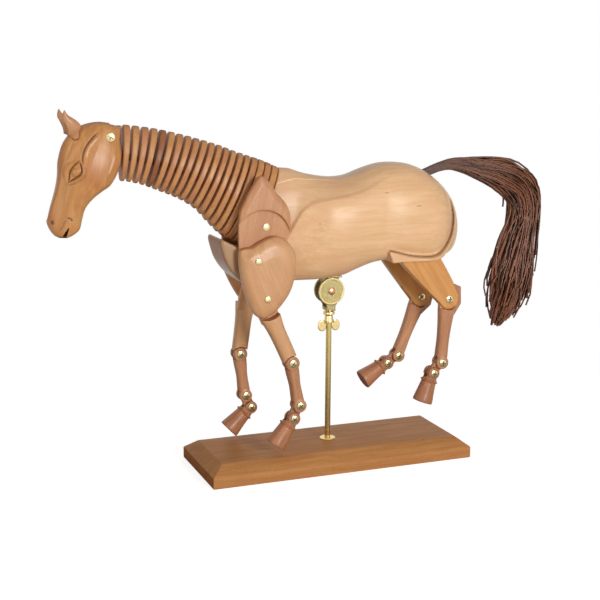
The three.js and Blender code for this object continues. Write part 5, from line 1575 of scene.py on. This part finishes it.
stand = {
    "length": 240.0, "width": 90.0, "edge": 10.0, "rise": 8.0, "bevel": 11.0, "corner": 0.9,
    "rod": 2.5, "ring": 7.0, "ringThick": 1.2, "disc": 11.9, "discIn": 4.1, "discOut": 5.7,
    "rim": 1.6, "rimRise": 0.5, "neck": 8.0, "stem": 4.6, "drop": 16.0, "stemTall": 5.2, "socket": 8.2,
    "rivet": 3.0, "nutHub": 4.0, "nutTall": 7.0, "nutSpan": 20.6, "nutDrop": 7.7, "nutThick": 1.8,
    "paddle": 3.9, "tongueTop": 13.6, "plate": 1.6, "plateBox": (-13, 8.6, -8, 8),
}
boardTop = stand["edge"] + stand["rise"]
stemFoot = -stand["drop"] - stand["stemTall"]


def makeBoard():
    def ring(inset, z):
        x, y, r = stand["length"] / 2 - inset, stand["width"] / 2 - inset, stand["corner"]
        points = []
        for east, north, start in ((1, 1, 0), (-1, 1, 90), (-1, -1, 180), (1, -1, 270)):
            corner = arc(east * (x - r), north * (y - r), r, start, start + 90, 4)
            points += [(*place, z) for place in corner]
        return points
    bevel, edge = stand["bevel"], stand["edge"]
    layers = [(1.1, 0), (0.3, 0.25), (0, 0.9), (0, edge - 0.7), (0.12, edge - 0.2), (0.5, edge + 0.25),
              (bevel - 0.9, boardTop - 0.42), (bevel - 0.2, boardTop - 0.12), (bevel + 0.9, boardTop)]
    made = skin([ring(*layer) for layer in layers], "standBoard")
    marks = [((104, -36, 13), (3.2, 3, 2.0), 0.9), ((78, -34, 18), (1.4, 1.0, 1), 0.55),
             ((-60, 12, 18), (1.8, 0.9, 1), 0.5)]
    dress(made, "stand", woodMaterial("boardBeech", "base", 0, 9.1, marks), ["base_board"], "base_wood", 25)


def hoop(profile, around, name, axis="Z"):
    # a ring from a closed profile of (radius, place) pairs
    points, faces, count = [], [], len(profile)
    for a in fullTurn(around):
        for radius, at in profile:
            flat = (radius * math.cos(a), radius * math.sin(a))
            points.append((flat[0], flat[1], at) if axis == "Z" else (flat[0], at, flat[1]))
    for k in range(around):
        for i in range(count):
            j, n = (i + 1) % count, (k + 1) % around
            faces.append((k * count + i, n * count + i, n * count + j, k * count + j))
    if volumeOf([np.array(p) for p in points], faces) < 0:
        faces = [f[::-1] for f in faces]
    return build(name, points, faces)


def makeRod():
    top = rivetZ + stemFoot + stand["socket"]
    foot = stand["rise"] + 0.3
    r = stand["rod"]
    rod = turnedSolid([(r - 0.3, foot), (r, foot + 0.4), (r, top - 0.6), (r - 0.6, top)], "Z", 40, "standRod")
    dress(rod, "stand", metalOf["rodBrass"], ["stand_rod"], "brass", 30)
    low = boardTop + 0.05
    out, thick, bore = stand["ring"], stand["ringThick"], r + 0.15
    ring = hoop([(bore, low), (out - 0.2, low), (out, low + 0.2), (out, low + thick - 0.5),
                 (out - 0.2, low + thick - 0.25), (out - 0.8, low + thick), (bore + 0.9, low + thick),
                 (bore, low + thick - 0.3)], 64, "footRing")
    dress(ring, "stand", metalOf["polishedBrass"], ["foot_ring"], "brass", 30)


def makeYoke():
    disc, inner, outer, rim = stand["disc"], stand["discIn"], stand["discOut"], stand["rim"]
    half, low, shoulder = stand["neck"] / 2, -stand["drop"] - 1, -0.78 * stand["disc"]
    neckLine = [(-half, low), (half, low), (half, -13), (half + 2.5, shoulder), (-half - 2.5, shoulder),
                (-half, -13)]
    profile = [(0, inner), (disc - 0.2, inner), (disc, inner + 0.2), (disc, outer + stand["rimRise"] - 0.25),
               (disc - rim, outer), (0, outer)]
    body = turnedSolid(profile, "Y", 72, "yoke")
    join(body, turnedSolid([(r, -y) for r, y in profile], "Y", 72), board(neckLine, inner, outer),
         board(neckLine, -outer, -inner), box(-half, half, -outer, outer, low - 0.5, low + 2.4))
    cut(body, drum(1.9, -20, 20))
    sand(body, 0.24, 3)
    body.name = "yokeCheeks"
    dress(moved(body, 0, 0, rivetZ), "yoke", metalOf["agedBrass"], ["swivel_yoke"], "aged_brass")
    rise = stand["rimRise"]
    for way, word in ((-1, "near"), (1, "far")):
        top = outer + rise
        edge = [(disc - rim, outer - 0.3), (disc - rim, top - 0.15), (disc - rim + 0.2, top),
                (disc - 0.3, top), (disc, top - 0.3), (disc, outer - 0.3)]
        ring = hoop([(r, way * y) for r, y in edge], 96, word + "YokeRim", "Y")
        dress(moved(ring, 0, 0, rivetZ), "yoke", metalOf["polishedBrass"], (), "brass", 35)
    stem, foot = stand["stem"], stemFoot
    profile = [(2.9, foot), (stem + 0.3, foot), (stem + 0.7, foot + 0.4), (stem + 0.7, foot + 2.0),
               (stem + 0.4, foot + 2.5), (stem - 0.4, foot + 2.9), (stem - 0.6, foot + 3.3),
               (stem - 0.6, -stand["drop"] - 0.4), (stem - 1, -stand["drop"])]
    turned = moved(turnedSolid(profile, "Z", 56, "yokeStem"), 0, 0, rivetZ)
    dress(turned, "yoke", metalOf["polishedBrass"], (), "brass", 35)


def makeRivet():
    face, r = stand["discOut"] + 0.25, stand["rivet"]
    cap = [(r * math.sin(t), face + 0.35 + 0.95 * math.cos(t)) for t in np.linspace(0.01, math.pi / 2, 14)]
    cap += [(r, face + 0.1), (r - 0.2, face)]
    profile = cap + [(1.8, face), (1.8, -face)] + [(q, -y) for q, y in reversed(cap)]
    made = moved(turnedSolid(profile, "Y", 56, "yokeRivet"), 0, 0, rivetZ)
    dress(made, "yoke", metalOf["copperRivet"], ["pivot_rivet"], "copper", 50)


def makeWingNut():
    middle = rivetZ + stemFoot - 0.3 - stand["nutTall"] / 2
    low, top = middle - stand["nutTall"] / 2, middle + stand["nutTall"] / 2
    hub = stand["nutHub"]
    body = turnedSolid([(hub + 0.3, low), (hub + 0.6, low + 0.3), (hub + 0.6, low + 1.2),
                        (hub + 0.2, low + 1.7), (hub - 0.4, top - 1), (hub - 1, top)], "Z", 56, "wingNut")
    half, broad, tall = stand["nutThick"] / 2, stand["paddle"], stand["nutDrop"] * 0.65
    for way in (1, -1):
        centre = np.array([way * (stand["nutSpan"] / 2 - broad), low - stand["nutDrop"] + tall])
        paddle = [centre + (broad * math.cos(t), tall * math.sin(t)) for t in fullTurn(47)]
        join(body, board(paddle, -half, half, 0.5))
    bore = stand["rod"] + 0.15
    cut(body, turnedSolid([(bore, low - 3), (bore, top + 3)], "Z", 40))
    sand(body, 0.24, 3)
    dress(body, "wing_nut", metalOf["polishedBrass"], ["wing_nut"], "brass")


def makeBracket():
    top = stand["tongueTop"]
    body = box(*stand["plateBox"], top - stand["plate"], top)
    join(body, board([(-8, top - 1), *arc(0, 0, 7, 180, 360, 40), (8, top - 1)], -3.8, 3.8))
    cut(body, drum(2.1, -6, 6))
    sand(body, 0.3, 3)
    body.name = "bellyTongue"
    dress(moved(body, 0, 0, rivetZ), "torso", metalOf["agedBrass"], ["belly_bracket"], "aged_brass")


def makeCore():
    # the bendable wire that strings the plates together; each plate carries its own length of it
    last = neck["count"]
    into = gaps[last]["point"] + neckNormal(gaps[last]["lean"]) * neck["wireIn"]
    lengths = [("neckCoreWire", "torso", into, gaps[last]["point"])]
    lengths += [("neckCoreWire%02d" % k, "neck_plate_%02d" % k, gaps[k]["point"], gaps[k - 1]["point"])
                for k in range(last, 0, -1)]
    for name, rider, start, end in lengths:
        along = (end - start) / np.linalg.norm(end - start)
        across = np.array([-along[1], along[0]])
        rings = []
        for share, radius in zip((0, 0.1, 0.9, 1), neck["wire"]):
            point = start + (end - start) * share
            rings.append([(point[0] + across[0] * radius * math.cos(t), radius * math.sin(t),
                           point[1] + across[1] * radius * math.cos(t) + rivetZ) for t in fullTurn(20)])
        replaced = ["neck_core"] if rider == "torso" else ()
        dress(outwards(skin(rings, name)), rider, metalOf["darkSteelAndShade"], replaced, "core_wire")


makeBoard()
makeRod()
makeYoke()
makeRivet()
makeWingNut()
makeBracket()
makeCore()
print("stand, bracket and core")

# tail: a dark core and layers of horsehair that follow one guide

tail = {
    "sunk": 5.0, "thin": 0.62,
    "core": 0.8, "coreEnd": 0.93, "edge": 9, "soft": 8.5,
    "route": [(104.7, 104.3), (118.6, 106.3), (141.4, 102.6), (164.8, 96), (183.2, 84.5), (192.4, 71.4),
              (193.4, 58.5), (188.4, 34.7), (181.5, 2.1), (176.6, -18.9), (170.2, -36.3), (165, -45.3)],
    "spread": [[0, 2.2], [0.12, 2.4], [0.19, 3.4], [0.26, 5.6], [0.36, 9.0], [0.47, 9.2], [0.57, 9.6],
               [0.66, 11.8], [0.78, 16.2], [0.87, 15.4], [0.93, 11.5], [1, 3.5]],
}
tailLayers = table(("Strands", "Strand Points", "Hair Radius", "Inner", "Outer", "Clumps", "Pull", "Wander",
                    "End Low", "End High", "Seed"), {
    "tailHairUnder": (1250, 20, 0.17, 0.5, 0.88, 70, 0.4, 3.0, 0.82, 0.98, 3),
    "tailHairOver": (1650, 18, 0.125, 0.75, 1.0, 90, 0.45, 4.2, 0.8, 1.0, 11),
    "tailHairOuter": (1100, 20, 0.1, 0.8, 1.12, 60, 0.3, 7.0, 0.72, 1.0, 17),
    "tailHairStray": (300, 26, 0.1, 0.85, 1.45, 60, 0.0, 34.0, 0.55, 0.99, 29),
})


def hairTree():
    tree, given, result = newGroup("horsehairTree", "GeometryNodeTree", {
        "Geometry": ["Geometry"], "Int": ["Strands", "Strand Points", "Clumps", "Seed"], "Material": ["Hair"],
        "Float": ["Hair Radius", "Inner", "Outer", "Pull", "Wander", "End Low", "End High", "Thin"]},
        {"Geometry": ["Geometry"]})
    guide = value(tree, "GeometryNodeMeshToCurve", {0: given["Geometry"]})
    roots = value(tree, "GeometryNodeMeshLine", {"Count": given["Strands"]})
    strand = value(tree, "GeometryNodeResampleCurve", {
        "Curve": value(tree, "GeometryNodeCurvePrimitiveLine"), "Count": given["Strand Points"]})
    many = value(tree, "GeometryNodeInstanceOnPoints", {"Points": roots, "Instance": strand})
    strands = value(tree, "GeometryNodeRealizeInstances", {0: many})
    own = value(tree, "GeometryNodeCurveOfPoint", key="Curve Index")
    along = value(tree, "GeometryNodeSplineParameter", key="Factor")

    def chance(identity, offset, low=0.0, high=1.0):
        made = node(tree, "FunctionNodeRandomValue", data_type="FLOAT")
        least, most = (i for i, socket in enumerate(made.inputs) if socket.type == "VALUE" and socket.enabled)
        fill(made, {least: low, most: high, "ID": identity, "Seed": given["Seed"] + float(offset)})
        return Value(next(o for o in made.outputs if o.enabled))
    clump = calc("FLOOR", chance(own, 1, 0.0, given["Clumps"]))

    def inDisc(identity, offset):
        turn = chance(identity, offset, 0.0, 2 * math.pi)
        inner, outer = (given[word] * given[word] for word in ("Inner", "Outer"))
        reach = calc("SQRT", chance(identity, offset + 1, inner, outer))
        return reach * calc("COSINE", turn), reach * calc("SINE", turn)
    pull = ramp(along, 0.3, 1.0) * given["Pull"]
    across, sideways = (a * (1.0 - pull) + b * pull for a, b in zip(inDisc(own, 2), inDisc(clump, 4)))
    end = chance(clump, 6, given["End Low"], given["End High"]) - chance(own, 7, 0.0, 0.07)
    share = along * end

    # each point is placed beside the guide, as far out as the guide's spread is there
    sample = node(tree, "GeometryNodeSampleCurve", mode="FACTOR", data_type="FLOAT", use_all_curves=False)
    spread = value(tree, "GeometryNodeInputNamedAttribute", {"Name": "spread"}, data_type="FLOAT")
    fill(sample, {"Curves": guide, "Factor": share, valueInput(sample): spread})
    wide = Value(next(o for o in sample.outputs if o.name == "Value" and o.enabled))
    outward = calc("CROSS_PRODUCT", (0.0, 1.0, 0.0), Value(sample.outputs["Tangent"]))
    place = Value(sample.outputs["Position"]) + outward * (across * wide)
    place = place + vectorOf(y=sideways * wide * given["Thin"])
    drift = noise(vectorOf(x=own * 7.31, y=share * 2.6, z=given["Seed"]), 1.0, 1.0, key="Color")
    drift = (drift - (0.5, 0.5, 0.5)) * (1.0, 0.45, 1.0) * (ramp(along, 0.04, 0.7) * given["Wander"])
    laid = value(tree, "GeometryNodeSetPosition", {"Geometry": strands, "Position": place + drift})
    tinted = chance(own, 8) * 0.45 + chance(clump, 9) * 0.55
    toned = node(tree, "GeometryNodeStoreNamedAttribute", {"Geometry": laid, "Name": "strandTone"},
                 data_type="FLOAT", domain="POINT")
    fill(toned, {valueInput(toned): calc("POWER", tinted, 1.4) * ramp(share, -0.2, 0.6)})
    thick = (1.0 - calc("POWER", along, 3.0) * 0.9) * given["Hair Radius"]
    thickened = value(tree, "GeometryNodeSetCurveRadius", {"Curve": Value(toned.outputs[0]), "Radius": thick})
    wire = value(tree, "GeometryNodeCurvePrimitiveCircle", {"Resolution": 3, "Radius": 1.0}, mode="RADIUS")
    hair = value(tree, "GeometryNodeCurveToMesh", {
        "Curve": thickened, "Profile Curve": wire, "Fill Caps": True})
    fill(result, {0: value(tree, "GeometryNodeSetMaterial", {"Geometry": hair, "Material": given["Hair"]})})
    return tree


def makeTail():
    aim = tailAim / np.linalg.norm(tailAim)
    route = smoothRoute([tailRoot - aim * tail["sunk"], tailRoot + aim * 5, *tail["route"]], 12)
    steps = np.r_[0, np.cumsum(np.linalg.norm(np.diff(route, axis=0), axis=1))]
    shares = steps / steps[-1]
    widths = np.array([line([tuple(r) for r in tail["spread"]])(t) for t in shares])
    guide = build("tailGuide", [(x, 0, z + rivetZ) for x, z in route], [])
    guide.data.edges.add(len(route) - 1)
    for k, edge in enumerate(guide.data.edges):
        edge.vertices = (k, k + 1)
    guide.data.attributes.new("spread", "FLOAT", "POINT").data.foreach_set("value", widths.astype(np.float32))
    hair = hairMaterial("horsehair", (42, 27, 21), (168, 104, 70), 0.38)
    tree = hairTree()
    rings = []
    for k, (point, share) in enumerate(zip(route, shares)):
        along = route[min(k + 1, len(route) - 1)] - route[max(k - 1, 0)]
        across = np.array([-along[1], along[0]]) / np.linalg.norm(along)
        ring = []
        for t in fullTurn(40):
            uneven = 1 + 0.12 * math.cos(4 * t + 9 * share) + 0.05 * math.cos(11 * t - 14 * share)
            reach = widths[k] * tail["core"] * uneven
            at = point + across * reach * math.cos(t)
            ring.append((at[0], reach * tail["thin"] * math.sin(t), at[1] + rivetZ))
        if share < tail["coreEnd"]:
            rings.append(ring)
    core = skin(rings, "tailCore")
    dress(core, "torso", hair, ["tail"], "horsehair")
    # the hair ends softly inside the CAD model's box, so that nothing there is cut off flat
    edge = cadBox[1][0] / mm - tail["edge"]
    for name, values in tailLayers.items():
        copy = guide.copy()
        copy.data = guide.data.copy()
        scene.collection.objects.link(copy)
        made = grow(name, tree, {**values, "Thin": tail["thin"], "Hair": hair}, copy)
        places, _ = pointsOf(made)
        over = np.maximum(places[:, 0] - edge, 0)
        places[:, 0] = np.minimum(places[:, 0], edge) + tail["soft"] * np.tanh(over / tail["soft"])
        setPoints(made, places)
        dress(made, "torso", hair, (), "horsehair")
    discard([guide])


makeTail()
print("tail")
